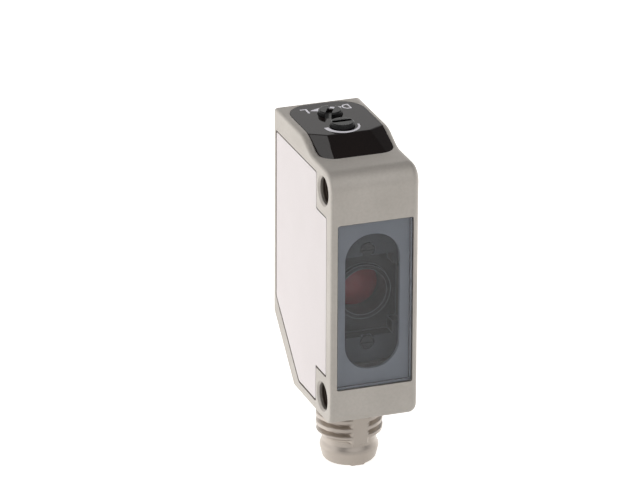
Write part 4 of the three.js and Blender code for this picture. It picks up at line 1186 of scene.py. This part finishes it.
# Hard gold over turned brass: warm, bright, with slightly duller patches.
patch, tone = clouds(tree, place, 0.8 * mm, 3.0, ("e2c27a", "cfa85a"))
rough = add_node(tree, "MapRange", {
    "Value": patch, "From Min": 0.3, "From Max": 0.7, "To Min": 0.2, "To Max": 0.34,
})
add_node(tree, "BsdfPrincipled", {
    "Base Color": tone, "Roughness": rough.outputs[0], "Metallic": 1.0,
}, to=surface)
finish_nodes(gold, *[f"contact_pin_{number}" for number in range(1, 5)])
brown, white, blue, black = (
    ("6f4528", "5f3a20"), ("e9e7e1", "dcd9d1"), ("2d62ab", "24539a"), ("1e1e20", "161618"),
)
for number, tones in enumerate((brown, white, blue, black), 1):
    jacket = moulded(f"extruded_pvc_wire_jacket_{number}", tones, 0.1 * mm, (0.35, 0.5), 0.1)
    finish_nodes(jacket, f"pin_lead_{number}")


# -------------------- boards and electronics
# Three glass epoxy boards carry the receiver, the control electronics and the indicators.
# None of it shows from outside except a trace through the display.
board, tree, place, surface = new_material("solder_masked_glass_epoxy")
# A green solder mask over copper: paths about 0.4 mm wide show as lighter lines.
paths = add_node(tree, "TexVoronoi", {
    "Vector": place, "Scale": 1 / (1.6 * mm), "Randomness": 0.4,
}, feature="DISTANCE_TO_EDGE", distance="MANHATTAN")
line = add_node(tree, "MapRange", {
    "Value": paths.outputs["Distance"], "From Min": 0.1, "From Max": 0.13, "To Min": 1.0, "To Max": 0.0,
})
tone = clouds(tree, place, 0.4 * mm, 2.0, ("24523a", "1d4631"))[1]
traced = add_node(tree, "Mix", {
    0: line.outputs[0], 6: tone, 7: linear("3d7a55"),
}, data_type="RGBA")
bump = add_node(tree, "Bump", {"Height": line.outputs[0], "Strength": 0.3, "Distance": 0.03 * mm})
add_node(tree, "BsdfPrincipled", {
    "Base Color": traced.outputs[2], "Roughness": 0.35, "Normal": bump.outputs[0],
    "Coat Weight": 0.3, "Coat Roughness": 0.2,
}, to=surface)
finish_nodes(board, "optics_board", "main_board", "display_board")
epoxy = moulded("moulded_chip_epoxy", ("232325", "1a1a1c"), 0.06 * mm, (0.5, 0.65), 0.2)
finish_nodes(epoxy, "photodiode", "amplifier_ic", "control_ic", "output_transistor", "supply_regulator")
tin, tree, place, surface = new_material("tin_plated_steel")
# Bright tin plate: soft grey, with the large faint crystals of its coating.
crystal = add_node(tree, "TexVoronoi", {"Vector": place, "Scale": 1 / (1.2 * mm)})
tone = add_node(tree, "Mix", {
    0: crystal.outputs["Distance"], 6: linear("d3d5d6"), 7: linear("bfc1c3"),
}, data_type="RGBA")
rough = add_node(tree, "MapRange", {
    "Value": crystal.outputs["Distance"], "From Min": 0.0, "From Max": 1.0, "To Min": 0.22, "To Max": 0.38,
})
add_node(tree, "BsdfPrincipled", {
    "Base Color": tone.outputs[2], "Roughness": rough.outputs[0], "Metallic": 1.0,
}, to=surface)
finish_nodes(tin, "shield_can", "supply_capacitor")
orange_led = moulded("cast_orange_led_epoxy", ("e9943a", "d9822c"), 0.1 * mm, (0.15, 0.3), 0.05)
green_led = moulded("cast_green_led_epoxy", ("7ccf8c", "69bd7a"), 0.1 * mm, (0.15, 0.3), 0.05)
finish_nodes(orange_led, "operation_led")
finish_nodes(green_led, "stability_led")
